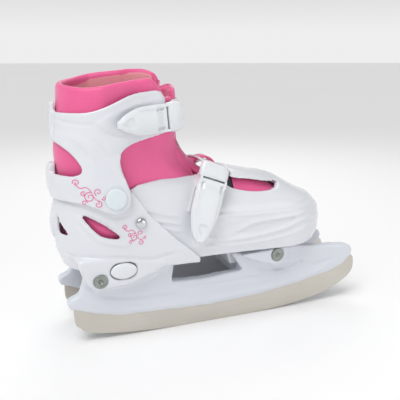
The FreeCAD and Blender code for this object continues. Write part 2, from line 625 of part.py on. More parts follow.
def guide_rivets():
    """Domed rivets of the rear shell that the wings of the front shell slide along."""
    wall_out = "heel_radius + %s + 1.5" % REAR_OUT
    head = cross_bar("guide_head", "rivet_x", "rivet_z", wall_out, wall_out + " + 2.4", "4")
    dome = doc.addObject("Part::Fillet", "guide_dome")
    dome.Base = head
    shank = cross_bar("guide_shank", "rivet_x", "rivet_z", "heel_radius + 3", wall_out, "rivet_radius")
    doc.recompute()
    rim = max(range(len(head.Shape.Edges)), key=lambda i: -head.Shape.Edges[i].CenterOfMass.y)
    dome.Edges = [(rim + 1, 2.2, 2.2)]
    keep(pair("guide_rivet_pair", joined("guide_rivet", [dome, shank])), "guide_rivets")


def size_button():
    """Oval push-button, its stem that reaches for the size bar, and the spring that pushes it out."""
    body = new_body("size_button")
    face = new_sketch(body, "button_face", "XZ_Plane", "lug_out - 1")
    slot(face, "button_x - button_long + button_high", "button_x + button_long - button_high",
         "button_z", "button_high")
    extrude(body, "Pad", face, "2.6")
    stem = new_sketch(body, "button_stem", "XZ_Plane", "blade_gap / 2 - rail_thick / 2 + 2")
    circle(stem, "button_x", "stem_z", "stem_radius")
    extrude(body, "Pad", stem, "lug_out - 1 - blade_gap / 2 + rail_thick / 2 - 2")
    keep(body, "size_button")
    coil = cross_bar("spring_outer", "button_x", "stem_z", "tower_out - 6", "lug_out - 3.7",
                     "stem_radius + 0.8")
    room = cross_bar("spring_room", "button_x", "stem_z", "tower_out - 7", "lug_out", "stem_radius + 0.2")
    spring = doc.addObject("Part::Cut", "spring")
    spring.Base = coil
    spring.Tool = room
    keep(spring, "size_button_spring")


# ---- buckles and straps ----

def half_width(levels, back, front, grow, x, z):
    """Half width of the boot at a point of its side, from the two levels around its height."""
    rows = []
    for name, height, back_x, back_r, front_x, front_r, *_ in levels:
        xa = value(back[0]) + back_x
        ra = value(back[1]) + back_r
        xb = value(front[0]) + front_x
        rb = value(front[1]) + front_r
        if x <= xb:
            width = ra + (rb - ra) * (x - xa) / (xb - xa)
        else:
            width = math.sqrt(max(rb * rb - (x - xb) ** 2, 0.0))
        rows.append((height, width + value(grow)))
    for (low, width_low), (high, width_high) in zip(rows, rows[1:]):
        if low <= z <= high:
            return width_low + (width_high - width_low) * (z - low) / (high - low)
    return rows[-1][1]


def buckle_frame(wall_half, start, end, lift):
    """Placement of a buckle: its hinge over start, its lever towards end, clear of the wall's bulge."""
    run_x = start[0] - end[0]
    run_z = start[1] - end[1]
    reach = math.hypot(run_x, run_z)
    start_half, end_half = wall_half(*start), wall_half(*end)
    bulges = [wall_half(start[0] - run_x * share, start[1] - run_z * share)
              - start_half - (end_half - start_half) * share for share in (0.0, 0.15, 0.3, 0.45, 0.6)]
    lift += max(bulges)
    lean = -math.degrees(math.atan2(end_half - start_half, reach))
    swing = math.degrees(math.atan2(run_x, run_z))
    turn = Rotation(Vector(0, 1, 0), swing).multiply(Rotation(Vector(1, 0, 0), lean))
    foot = Vector(start[0], -start_half, start[1])
    return FreeCAD.Placement(foot + turn.multVec(Vector(0, -lift, 0)), turn)


def band(points, thick):
    """Closed outline of a strap of even thickness about a path in the plane."""
    left, right = [], []
    for i, (x, y) in enumerate(points):
        ahead = points[min(i + 1, len(points) - 1)]
        behind = points[max(i - 1, 0)]
        dx, dy = ahead[0] - behind[0], ahead[1] - behind[1]
        size = math.hypot(dx, dy)
        nx, ny = -dy / size * thick / 2, dx / size * thick / 2
        left.append((x + nx, y + ny))
        right.append((x - nx, y - ny))
    return left + right[::-1]


def strap(name, points, thick, wide, across, place):
    """Ladder strap: a flat band bent along a path and as wide as it is across that plane."""
    outline = band(points, thick)
    if across == "x":
        corners = [Vector(-wide / 2, a, b) for a, b in outline]
        sweep = Vector(wide, 0, 0)
    else:
        corners = [Vector(a, b, 0) for a, b in outline]
        sweep = Vector(0, 0, wide)
    solid = Part.Face(Part.makePolygon(corners + corners[:1])).extrude(sweep)
    piece = doc.addObject("Part::Feature", name)
    piece.Shape = solid
    piece.Placement = place
    return piece


def buckle(label, place, length, width, form):
    """Buckle: a base that follows the wall, a hinge pin and a teardrop lever."""
    base = new_body(label + "_blank_base")
    ears = new_sketch(base, label + "_ears", "YZ_Plane")
    polygon(ears, (("-2", "-3"), ("-2", "3"), ("6", "5"), ("6", "-8")))
    extrude(base, "Pad", ears, str(width), midplane=True)
    gap = new_sketch(base, label + "_ear_gap", "YZ_Plane")
    polygon(gap, (("-9", "-12"), ("-9", "12"), ("9", "12"), ("9", "-12")))
    extrude(base, "Pocket", gap, "%s - 2 * ear_thick" % width, midplane=True)
    plate = new_sketch(base, label + "_plate", "YZ_Plane")
    low_end = "-%s * 0.55" % length
    polygon(plate, (("4.4", low_end), ("4.4", "3.5"), ("12", "3.5"), ("12", low_end)))
    extrude(base, "Pad", plate, str(width), midplane=True)
    hole = new_sketch(base, label + "_pin_bore", "YZ_Plane")
    circle(hole, "0", "0", "pin_radius")
    extrude(base, "Pocket", hole, None, midplane=True)
    base.Placement = place
    fitted = doc.addObject("Part::Cut", label + "_fitted")
    fitted.Base = base
    fitted.Tool = form
    keep(fitted, label + "_buckle_base")

    pin = doc.addObject("Part::Cylinder", label + "_pin")
    bind(pin, "Radius", "pin_radius")
    bind(pin, "Height", str(width))
    pin.Placement = place.multiply(FreeCAD.Placement(Vector(-width / 2, 0, 0), Rotation(Vector(0, 1, 0), 90)))
    held = doc.addObject("Part::Compound", label + "_pin_held")
    held.Links = [pin]
    keep(held, label + "_buckle_pin")

    lever = new_body(label + "_lever_blank")
    inside = "(%s - 2 * ear_thick - 2 * lever_gap)" % width
    knuckle = new_sketch(lever, label + "_knuckle", "YZ_Plane")
    circle(knuckle, "0", "0", "knuckle_radius")
    extrude(lever, "Pad", knuckle, inside, midplane=True)
    face = new_sketch(lever, label + "_face", "XZ_Plane", "0.6")
    half = inside + " / 2"
    polygon(face, (("-" + half, "2"), ("-" + half, "-%s * 0.45" % length),
                   ("-%s * 0.7" % half, "-%s * 0.8" % length), ("-3", "-%s" % length),
                   ("3", "-%s" % length), (half + " * 0.7", "-%s * 0.8" % length),
                   (half, "-%s * 0.45" % length), (half, "2")))
    extrude(lever, "Pad", face, "2.2")
    bore = new_sketch(lever, label + "_lever_bore", "YZ_Plane")
    circle(bore, "0", "0", "pin_radius + run_fit")
    extrude(lever, "Pocket", bore, None, midplane=True)
    lever.Placement = place
    moved = doc.addObject("Part::Compound", label + "_lever_held")
    moved.Links = [lever]
    keep(moved, label + "_lever")


def buckle_rivets(label, place, length, deep):
    """Two rivets through a buckle's base and the wall behind it."""
    bars = []
    for number, share in ((1, 0.2), (2, 0.42)):
        bar = doc.addObject("Part::Cylinder", "%s_rivet%d" % (label, number))
        bind(bar, "Radius", "rivet_radius - 0.4")
        bind(bar, "Height", str(deep))
        spot = FreeCAD.Placement(Vector(0, 4.4, -length * share), Rotation(Vector(1, 0, 0), -90))
        bar.Placement = place.multiply(spot)
        bars.append(bar)
    group = doc.addObject("Part::Compound", label + "_rivet_pair")
    group.Links = bars
    return group


def drilled(name, base, tools, label):
    """Drill a shell with the rivets that go through it."""
    for number, tool in enumerate(tools):
        cut = doc.addObject("Part::Cut", "%s_drilled%d" % (name, number))
        cut.Base = base
        cut.Tool = tool
        base = cut
    return keep(base, label)


def across_wall(name, x, z, half, deep, out):
    """Short rivet through the inner side's wall, from out beyond the wall to deep inside it."""
    bar = doc.addObject("Part::Cylinder", name)
    bind(bar, "Radius", "rivet_radius")
    bind(bar, "Height", str(deep + out))
    bar.Placement = FreeCAD.Placement(Vector(x, half + out, z), Rotation(Vector(1, 0, 0), 90))
    return bar


def instep_closure(shell):
    """Ratchet buckle on the outer side of the front shell and its ladder strap over the instep."""
    heel = ("heel_centre", "heel_radius")
    ball = ("ball_centre", "ball_radius")

    def wall_half(x, z):
        return half_width(LEVELS, heel, ball, SHELL_OUT, x, z)

    place = buckle_frame(wall_half, (-13.0, 115.5), (-27.5, 76.0), 6.3)
    length, width = 46.0, 22.0
    form = new_body("front_form")
    loft(form, "front_form", "AdditiveLoft", foot_outlines(FRONT_SOLE, SHELL_OUT, "0"))
    buckle("instep", place, length, width, form)
    rivets = buckle_rivets("instep", place, length, 4.8)

    slope = math.tan(math.radians(place.Rotation.getYawPitchRoll()[1]))

    def local(y, z):
        return place.inverse().multVec(Vector(place.Base.x + (z - place.Base.z) * slope, y, z))

    def clear_of_wall(z):
        x = place.Base.x + (z - place.Base.z) * slope
        return max(wall_half(x - 8, z), wall_half(x + 8, z)) + 2.0

    over = [(-19, 128.4), (-9, 131.6), (3, 132.4), (14, 130)]
    over += [(clear_of_wall(z), z) for z in (121.0, 115.0, 107.0, 99.0, 90.0, 82.0)]
    path = [(3.4, -24.0), (3.4, 5.0)] + [(p.y, p.z) for p in (local(y, z) for y, z in over)]
    band_piece = strap("instep_band", path, value("strap_thick"), value("strap_wide"), "x", place)
    tail = place.multVec(Vector(0, path[-1][0], path[-1][1]))
    side = wall_half(tail.x, 87.0)
    anchor = across_wall("instep_anchor", tail.x + 1.5, 87.0, side, 2.6, 4.6)
    cut = doc.addObject("Part::Cut", "instep_band_drilled")
    cut.Base = band_piece
    cut.Tool = anchor
    keep(cut, "instep_ladder_strap")
    drilled("front_shell", shell, (rivets, anchor), "front_shell")
    held = doc.addObject("Part::Compound", "instep_rivet_group")
    held.Links = [rivets, anchor]
    base = doc.getObjectsByLabel("instep_buckle_base")[0]
    base_cut(base, rivets)
    keep(held, "instep_rivets")
    return place


def base_cut(base, rivets):
    """Drill a buckle's base for its rivets before it is written."""
    cut = doc.addObject("Part::Cut", base.Name + "_drilled")
    pieces.remove(base)
    label = base.Label
    base.Label = label + "_undrilled"
    base.setExpression("Placement.Base.y", None)
    base.Placement = FreeCAD.Placement()
    cut.Base = base
    cut.Tool = rivets
    keep(cut, label)


def cuff_closure(wrap):
    """Ratchet buckle on the outer side of the cuff and its ladder strap round the shin."""
    back = ("heel_centre", "heel_radius")
    shin = ("shin_centre", "shin_radius")
    grow = "upper_gap + wall"

    def wall_half(x, z):
        return half_width(UPPER, back, shin, grow, x, z)

    place = buckle_frame(wall_half, (-50.0, 166.5), (-84.0, 163.5), 6.3)
    length, width = 36.0, 19.0
    form = new_body("cuff_form")
    loft(form, "cuff_form", "AdditiveLoft", cuff_outlines(CUFF_OUT, "wall"))
    buckle("cuff", place, length, width, form)
    rivets = buckle_rivets("cuff", place, length, 5.3)
    near = [place.multVec(Vector(0, 3.4, z)) for z in (-20.0, 4.0)]
    front = value("shin_centre + shin_radius + 2")
    path = [(p.x, p.y) for p in near] + [(front - 7.5, -24.5), (front - 1.4, -14), (front, -5), (front, 5),
                                         (front - 1.4, 14), (front - 7.5, 24.5)]
    path += [(x, wall_half(x, 166.5) + 2.2) for x in (-46.0, -55.0, -66.0, -76.0)]
    wide = value("strap_wide")
    level = FreeCAD.Placement(Vector(0, 0, 166.5 - wide / 2), Rotation())
    band_piece = strap("cuff_band", path, value("strap_thick"), wide, "z", level)
    anchor = across_wall("cuff_anchor", -70.0, 166.5, wall_half(-70.0, 166.5), 2.6, 4.6)
    cut = doc.addObject("Part::Cut", "cuff_band_drilled")
    cut.Base = band_piece
    cut.Tool = anchor
    keep(cut, "cuff_ladder_strap")
    drilled("cuff", wrap, (rivets, anchor), "cuff")
    held = doc.addObject("Part::Compound", "cuff_rivet_group")
    held.Links = [rivets, anchor]
    base_cut(doc.getObjectsByLabel("cuff_buckle_base")[0], rivets)
    keep(held, "cuff_rivets")
    return place


# ---- writing ----

def write_parts():
    """Refuse a failed object or a bad shape, then write one file a piece."""
    doc.recompute()
    bad = [thing.Name for thing in doc.Objects if {"Invalid", "Error"} & set(thing.State)]
    for piece in pieces:
        if piece.Shape.isNull() or not piece.Shape.isValid() or piece.Shape.Volume <= 0:
            bad.append(piece.Label)
    if bad:
        raise RuntimeError("pieces that failed: " + ", ".join(bad))
    os.makedirs("parts", exist_ok=True)
    for piece in pieces:
        piece.Shape.exportStep("parts/%s.step" % piece.Label)


fill_sheet()
blade("blade_outer", -1)
blade("blade_inner", 1)
chassis()
rear_shell()
front_blank = front_shell()
liner_foot()
liner_upper()
tongue()
footbed()
cuff_blank = cuff()
pivots()
bolts()
guide_rivets()
size_button()
instep_place = instep_closure(front_blank)
cuff_place = cuff_closure(cuff_blank)
write_parts()
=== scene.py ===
import math

import bpy
import numpy as np
from mathutils import Matrix, Vector
from mathutils.bvhtree import BVHTree


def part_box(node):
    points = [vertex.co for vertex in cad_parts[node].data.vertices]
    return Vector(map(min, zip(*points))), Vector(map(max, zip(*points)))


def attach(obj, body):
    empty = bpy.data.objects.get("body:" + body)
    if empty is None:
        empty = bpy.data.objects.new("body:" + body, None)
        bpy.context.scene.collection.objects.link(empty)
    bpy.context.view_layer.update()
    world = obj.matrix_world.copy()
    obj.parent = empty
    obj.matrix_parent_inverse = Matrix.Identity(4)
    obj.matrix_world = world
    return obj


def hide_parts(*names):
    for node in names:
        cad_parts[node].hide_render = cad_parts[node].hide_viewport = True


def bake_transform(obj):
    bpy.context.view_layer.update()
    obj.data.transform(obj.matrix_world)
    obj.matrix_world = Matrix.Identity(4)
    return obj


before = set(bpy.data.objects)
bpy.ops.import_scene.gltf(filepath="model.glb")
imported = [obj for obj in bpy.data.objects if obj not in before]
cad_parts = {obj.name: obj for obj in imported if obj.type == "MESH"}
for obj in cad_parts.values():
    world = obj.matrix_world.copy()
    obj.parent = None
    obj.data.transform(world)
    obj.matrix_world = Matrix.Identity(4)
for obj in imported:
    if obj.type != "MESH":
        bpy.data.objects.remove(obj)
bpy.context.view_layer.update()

# ---- camera, light and floor ----
# The skate stands on a pale seamless floor under large soft lights, as in a plain product studio.
# Every size below is in millimetres about the boot's own mid-plane, which stands a little inwards.
BOOT_MIDDLE = (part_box("rear_shell")[0].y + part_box("rear_shell")[1].y) / 2


def placed(x, y, z):
    """A point of the boot, in millimetres, as a place in the scene."""
    return Vector((x / 1000, y / 1000 + BOOT_MIDDLE, z / 1000))


def linear(colour):
    """Turn an sRGB hex colour into linear RGBA."""
    parts = [int(colour[i:i + 2], 16) / 255 for i in (1, 3, 5)]
    return [c / 12.92 if c <= 0.04045 else ((c + 0.055) / 1.055) ** 2.4 for c in parts] + [1.0]


def add_node(tree, kind, given=None, **settings):
    """Add a node: its settings by name, and its sockets given numbers, colours or other outputs."""
    node = tree.nodes.new(kind)
    for name, setting in settings.items():
        setattr(node, name, setting)
    for socket, what in (given or {}).items():
        if isinstance(what, bpy.types.NodeSocket):
            tree.links.new(what, node.inputs[socket])
        else:
            node.inputs[socket].default_value = what
    return node


def look_at(thing, target):
    """Turn a light or the camera to face a point."""
    thing.rotation_euler = (target - thing.location).to_track_quat("-Z", "Y").to_euler()


def to_scene(thing):
    bpy.context.scene.collection.objects.link(thing)
    return thing


camera = to_scene(bpy.data.objects.new("camera", bpy.data.cameras.new("camera")))
camera.data.lens = 49.68
camera.data.sensor_width = 36
camera.data.clip_start = 0.01
camera.location = placed(-167.5, -409.3, 205.3)
look_at(camera, placed(-7.9, 0, 94.9))
bpy.context.scene.camera = camera

for name, spot, size, power in (("key_light", (-420, -330, 620), 0.35, 1.2),
                                ("fill_light", (420, -640, 260), 0.5, 0.8),
                                ("back_light", (200, 600, 700), 0.6, 1.6)):
    lamp = to_scene(bpy.data.objects.new(name, bpy.data.lights.new(name, "AREA")))
    lamp.data.size = size
    lamp.data.energy = power
    lamp.location = placed(*spot)
    look_at(lamp, placed(0, 0, 80))

daylight = to_scene(bpy.data.objects.new("ceiling_light", bpy.data.lights.new("ceiling_light", "SUN")))
daylight.data.energy = 1.25
daylight.data.angle = math.radians(35)
daylight.location = placed(-300, -200, 900)
look_at(daylight, placed(0, 0, 80))

world = bpy.data.worlds.new("studio_air")
world.use_nodes = True
tree = world.node_tree
facing = add_node(tree, "ShaderNodeTexCoord")
height = add_node(tree, "ShaderNodeSeparateXYZ", {0: facing.outputs["Generated"]})
dim = add_node(tree, "ShaderNodeMapRange", {"Value": height.outputs["Z"], 1: 0.05, 2: 0.3, 3: 0.86, 4: 0.36})
tree.links.new(dim.outputs[0], tree.nodes["Background"].inputs["Strength"])
tree.nodes["Background"].inputs["Color"].default_value = (1, 1, 1, 1)
bpy.context.scene.world = world
bpy.context.scene.view_settings.view_transform = "Standard"

# Matt white paper: even and shadow-catching, with a faint mottle of pulp.
paper = bpy.data.materials.new("matt_paper_floor")
paper.use_nodes = True
tree = paper.node_tree
pulp = add_node(tree, "ShaderNodeTexNoise", {"Scale": 60.0, "Detail": 3.0})
tint = add_node(tree, "ShaderNodeMix", {0: pulp.outputs["Fac"], 6: linear("#FBFBFC"), 7: linear("#FEFEFE")},
                data_type="RGBA")
tree.links.new(tint.outputs[2], tree.nodes["Principled BSDF"].inputs["Base Color"])
tree.nodes["Principled BSDF"].inputs["Roughness"].default_value = 0.85

floor_mesh = bpy.data.meshes.new("floor")
floor_mesh.from_pydata([(-60, -60, -0.0002), (60, -60, -0.0002), (60, 60, -0.0002), (-60, 60, -0.0002)], [],
                       [(0, 1, 2, 3)])
floor_mesh.materials.append(paper)
to_scene(bpy.data.objects.new("floor", floor_mesh))

# ---- steel runners ----
# Two stainless runners, stamped from 3 mm strip and ground along their length, with a long rocker
# below. Their roots are moulded into the rails, so only the lower edge and the tips show.


def smooth_line(points, steps=6, closed=False):
    """Points along a smooth line that goes through every given point."""
    count = len(points)
    line = []
    for i in range(count if closed else count - 1):
        p = [np.array(points[(i + k) % count if closed else min(max(i + k, 0), count - 1)], float)
             for k in (-1, 0, 1, 2)]
        for t in np.arange(steps) / steps:
            line.append(0.5 * (2 * p[1] + (p[2] - p[0]) * t + (2 * p[0] - 5 * p[1] + 4 * p[2] - p[3]) * t ** 2
                               + (3 * p[1] - p[0] - 3 * p[2] + p[3]) * t ** 3))
    if not closed:
        line.append(np.array(points[-1], float))
    return [tuple(p) for p in line]


def plate(name, outline, near, far, edge):
    """A flat plate standing across the skate from near to far, with its edges eased."""
    curve = bpy.data.curves.new(name, "CURVE")
    curve.dimensions = "2D"
    curve.fill_mode = "BOTH"
    spline = curve.splines.new("POLY")
    spline.points.add(len(outline) - 1)
    for point, (x, z) in zip(spline.points, outline):
        point.co = (x / 1000, z / 1000, 0, 1)
    spline.use_cyclic_u = True
    curve.extrude = (far - near) / 2000 - edge / 1000
    curve.bevel_depth = edge / 1000
    curve.bevel_resolution = 2
    curve.offset = -edge / 1000
    shape = bpy.data.objects.new(name, curve)
    mesh = bpy.data.meshes.new_from_object(shape)
    middle = (near + far) / 2
    for vertex in mesh.vertices:
        x, z, y = vertex.co
        vertex.co = placed(x * 1000, middle - y * 1000, z * 1000)
    bpy.data.curves.remove(curve)
    mesh.name = name
    return finished(name, mesh)


def finished(name, mesh, smooth=True):
    """Put a mesh in the scene as a piece: its data validated and its faces shaded smooth, or flat if asked."""
    mesh.validate()
    piece = to_scene(bpy.data.objects.new(name, mesh))
    mesh.polygons.foreach_set("use_smooth", [smooth] * len(mesh.polygons))
    return piece


def principled(name, **sockets):
    """A new material with uniform values set on its shader, and the tree and shader to add to."""
    material = bpy.data.materials.new(name)
    material.use_nodes = True
    shader = material.node_tree.nodes["Principled BSDF"]
    for socket, what in sockets.items():
        shader.inputs[socket.replace("_", " ")].default_value = what
    return material, material.node_tree, shader


def wear(piece, material):
    piece.data.materials.clear()
    piece.data.materials.append(material)


# Ground stainless strip: long grinding lines that stretch the highlight, and a warm grey sheen.
steel, tree, shader = principled("ground_stainless_steel", Metallic=1.0)
where = add_node(tree, "ShaderNodeTexCoord")
along = add_node(tree, "ShaderNodeMapping", {"Vector": where.outputs["Object"], "Scale": (12, 900, 900)})
lines = add_node(tree, "ShaderNodeTexNoise", {"Vector": along.outputs[0], "Scale": 2.0, "Detail": 4.0})
patches = add_node(tree, "ShaderNodeTexNoise", {"Vector": where.outputs["Object"], "Scale": 28.0})
mixed = add_node(tree, "ShaderNodeMath", {0: lines.outputs["Fac"], 1: patches.outputs["Fac"]},
                 operation="MULTIPLY")
hue = add_node(tree, "ShaderNodeMix", {0: mixed.outputs[0], 6: linear("#C4BFB6"), 7: linear("#DEDAD2")},
               data_type="RGBA")
rough = add_node(tree, "ShaderNodeMapRange", {"Value": lines.outputs["Fac"], 3: 0.34, 4: 0.52})
bump = add_node(tree, "ShaderNodeBump", {"Height": lines.outputs["Fac"], "Strength": 0.12, "Distance": 0.0002})
tree.links.new(hue.outputs[2], shader.inputs["Base Color"])
tree.links.new(rough.outputs[0], shader.inputs["Roughness"])
tree.links.new(bump.outputs[0], shader.inputs["Normal"])

rocker = smooth_line([(-117.5, 31), (-117.5, 17.1), (-114, 12.0), (-109, 8.0), (-91.7, 3.9), (-61.6, 0.9),
                      (-28, 0.0), (2.4, 0.0), (34, 0.1), (56, 1.4), (82, 4.3), (105.5, 10.6), (121.8, 18.9),
                      (127.4, 25.8), (128.1, 33), (126.7, 38), (120.2, 42)], 5)
root = [(100, 34), (60, 28), (0, 22), (-50, 23), (-100, 29)]
for node, middle in (("blade_outer", -25), ("blade_inner", 25)):
    runner = plate(node + "_ground", rocker + root, middle - 1.5, middle + 1.5, 0.25)
    wear(runner, steel)
    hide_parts(node)
    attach(runner, "chassis")

# ---- twin-rail chassis ----
# One moulding of glass-filled white nylon: two fairings that grip the runners, joined by two decks,
# with a tower under the heel and one under the ball. Long creases are moulded into its sides.


def moulded(name, node, grain, rounds):
    """Give a CAD solid the soft edges of a moulding: a fine even skin with its edges worn round."""
    piece = to_scene(bpy.data.objects.new(name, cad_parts[node].data.copy()))
    skin = piece.modifiers.new("skin", "REMESH")
    skin.mode = "VOXEL"
    skin.voxel_size = grain / 1000
    soften = piece.modifiers.new("soften", "SMOOTH")
    soften.factor = 0.5
    soften.iterations = rounds
    mesh = bpy.data.meshes.new_from_object(piece.evaluated_get(bpy.context.evaluated_depsgraph_get()))
    bpy.data.objects.remove(piece)
    mesh.name = name
    piece = finished(name, mesh)
    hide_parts(node)
    return piece


def corners(piece):
    """The piece's points in boot millimetres, and their normals."""
    mesh = piece.data
    spots = np.empty(len(mesh.vertices) * 3)
    mesh.vertices.foreach_get("co", spots)
    spots = spots.reshape(-1, 3) * 1000
    spots[:, 1] -= BOOT_MIDDLE * 1000
    normals = np.empty(len(mesh.vertices) * 3)
    mesh.vertex_normals.foreach_get("vector", normals)
    return spots, normals.reshape(-1, 3)


def move_to(piece, spots):
    """Move the piece's points to new places, in boot millimetres."""
    spots = spots.copy()
    spots[:, 1] += BOOT_MIDDLE * 1000
    piece.data.vertices.foreach_set("co", (spots / 1000).ravel())
    piece.data.update()


def far_from(line, spots, closed=False):
    """Distance of side-view spots from a line of points."""
    best = np.full(len(spots), 1e9)
    ring = list(line) + list(line[:1]) if closed else line
    for start, end in zip(ring, ring[1:]):
        start, run = np.array(start), np.array(end) - np.array(start)
        share = np.clip((spots - start) @ run / (run @ run), 0, 1)
        best = np.minimum(best, np.linalg.norm(spots - start - share[:, None] * run, axis=1))
    return best


def inside(line, spots):
    """Which side-view spots lie inside a closed line."""
    within = np.zeros(len(spots), bool)
    for (xa, za), (xb, zb) in zip(line, list(line[1:]) + list(line[:1])):
        crosses = (za > spots[:, 1]) != (zb > spots[:, 1])
        reach = xa + (spots[:, 1] - za) * (xb - xa) / (zb - za + 1e-9)
        within ^= crosses & (spots[:, 0] < reach)
    return within


def relief(piece, lines=(), panels=(), sides=(-1, 1)):
    """Raise or sink the outer skin along lines (points, width, height) and over panels (outline,
    bevel, height), as the mould's own creases do."""
    spots, normals = corners(piece)
    spine = np.clip(spots[:, 0], -87, 54)
    outward = np.stack([spots[:, 0] - spine, spots[:, 1]], 1)
    outward /= np.linalg.norm(outward, axis=1)[:, None] + 1e-9
    facing = np.clip((np.sum(outward * normals[:, :2], axis=1) - 0.25) * 3, 0, 1)
    facing *= np.isin(np.sign(spots[:, 1]), sides)
    side_view = spots[:, [0, 2]]
    rise = np.zeros(len(spots))
    for points, width, height in lines:
        line = smooth_line(points)
        run = np.array(line)
        reach = far_from(line, side_view)
        ends = np.minimum(np.linalg.norm(side_view - run[0], axis=1),
                          np.linalg.norm(side_view - run[-1], axis=1))
        rise += height * np.exp(-(reach / width) ** 2) * np.clip(ends / (4 * width), 0.15, 1)
    for outline, bevel, height in panels:
        line = smooth_line(outline, closed=True)
        depth = far_from(line, side_view, True) * np.where(inside(line, side_view), 1, -1)
        share = np.clip(depth / bevel * 0.5 + 0.5, 0, 1)
        rise += height * share * share * (3 - 2 * share)
    move_to(piece, spots + normals * (rise * facing)[:, None])


def moulded_white(name, colour, shade, rough_low, rough_high, texture):
    """White injection-moulded plastic: flow clouds, a fine orange-peel texture and duller patches."""
    material, tree, shader = principled(name, IOR=1.49, Coat_Weight=0.25, Coat_Roughness=0.12)
    where = add_node(tree, "ShaderNodeTexCoord")
    clouds = add_node(tree, "ShaderNodeTexNoise", {"Vector": where.outputs["Object"], "Scale": 22.0,
                                                   "Detail": 3.0})
    hue = add_node(tree, "ShaderNodeMix", {0: clouds.outputs["Fac"], 6: linear(colour), 7: linear(shade)},
                   data_type="RGBA")
    scuffs = add_node(tree, "ShaderNodeTexNoise", {"Vector": where.outputs["Object"], "Scale": 140.0,
                                                   "Detail": 5.0, "Roughness": 0.65})
    rough = add_node(tree, "ShaderNodeMapRange", {"Value": scuffs.outputs["Fac"], 3: rough_low, 4: rough_high})
    peel = add_node(tree, "ShaderNodeTexNoise", {"Vector": where.outputs["Object"], "Scale": 1000 / texture})
    bump = add_node(tree, "ShaderNodeBump", {"Height": peel.outputs["Fac"], "Strength": 0.06,
                                             "Distance": 0.0002})
    tree.links.new(hue.outputs[2], shader.inputs["Base Color"])
    tree.links.new(rough.outputs[0], shader.inputs["Roughness"])
    tree.links.new(bump.outputs[0], shader.inputs["Normal"])
    return material


# Moulded glass-filled nylon: cool white, a little duller than the boot, with a fine even texture.
nylon = moulded_white("moulded_white_nylon", "#DCDFE6", "#D2D6DE", 0.26, 0.40, 1.2)
holder = moulded("chassis_moulding", "blade_holder", 1.15, 3)
relief(holder,
       lines=(([(-36, 35.4), (-6.3, 32.9), (24.9, 32.6), (62.4, 34.3), (91.9, 36.5), (106, 40)], 1.3, -0.9),
              ([(-100.9, 37.8), (-83.8, 32.6), (-60.4, 30.0), (-36.1, 28.2)], 1.6, -1.1),
              ([(-100, 25), (-60, 21.5), (-10, 19.2), (35, 21.2), (68, 25.6), (104, 33)], 2.4, 0.9),
              ([(-9.5, 61), (12, 55.4), (30, 47), (40, 44.2), (50, 45.4), (56.3, 51), (57, 58)], 0.9, 0.9),
              ([(26, 43.5), (38, 38.6), (50, 36.6), (66, 36.4), (86, 40.4)], 1.5, -1.2)))
wear(holder, nylon)
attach(holder, "chassis")

# ---- chassis bolts ----
# Zinc-plated socket-head bolts clamp the towers to the boot, with turned inserts behind the front
# pair. Plating leaves them a greyish green satin.
zinc, tree, shader = principled("zinc_plated_steel", Metallic=1.0)
where = add_node(tree, "ShaderNodeTexCoord")
spangle = add_node(tree, "ShaderNodeTexVoronoi", {"Vector": where.outputs["Object"], "Scale": 900.0})
hue = add_node(tree, "ShaderNodeMix", {0: spangle.outputs["Distance"], 6: linear("#868C86"),
                                       7: linear("#A2A8A1")}, data_type="RGBA")
rough = add_node(tree, "ShaderNodeMapRange", {"Value": spangle.outputs["Distance"], 3: 0.3, 4: 0.45})
tree.links.new(hue.outputs[2], shader.inputs["Base Color"])
tree.links.new(rough.outputs[0], shader.inputs["Roughness"])


def turned(name, pieces, facets=48):
    """Turned or domed pieces in one mesh. Each is a profile of (radius, height), the spot where its
    axis leaves the skate's side, which side that is, and how far it is stretched into an oval."""
    points, faces = [], []
    for profile, (x, y, z), side, (wide, high) in pieces:
        first = len(points)
        for radius, height in profile:
            for i in range(facets):
                turn = 2 * math.pi * i / facets
                points.append(placed(x + radius * wide * math.cos(turn), side * (y + height),
                                     z + radius * high * math.sin(turn)))
        for ring in range(len(profile) - 1):
            for i in range(facets):
                a, b = first + ring * facets + i, first + ring * facets + (i + 1) % facets
                face = (a, b, b + facets, a + facets)
                faces.append(face if side > 0 else face[::-1])
        ends = (range(first, first + facets), range(len(points) - facets, len(points)))
        faces += [tuple(end) if flip == (side > 0) else tuple(end)[::-1] for flip, end in zip((0, 1), ends)]
    mesh = bpy.data.meshes.new(name)
    mesh.from_pydata(points, [], faces)
    return finished(name, mesh)


SOCKET_HEAD = ((2.4, -12), (2.4, 0), (5.0, 0.05), (5.35, 0.3), (5.35, 1.7), (5.0, 2.1), (3.2, 2.2), (2.9, 1.9),
               (2.6, 1.9), (2.2, 2.1), (1.7, 2.05), (1.6, 0.9), (0.1, 0.8))
for node, x, z, seat in (("rear_bolts", -98.8, 50.6, 34.4), ("front_bolts", 46.2, 52.5, 34.0)):
    heads = turned(node + "_plated", [(SOCKET_HEAD, (x, seat, z), side, (1, 1)) for side in (-1, 1)])
    wear(heads, zinc)
    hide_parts(node)
    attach(heads, "chassis")
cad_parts["front_barrel_nuts"].data.materials.clear()
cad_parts["front_barrel_nuts"].data.materials.append(zinc)

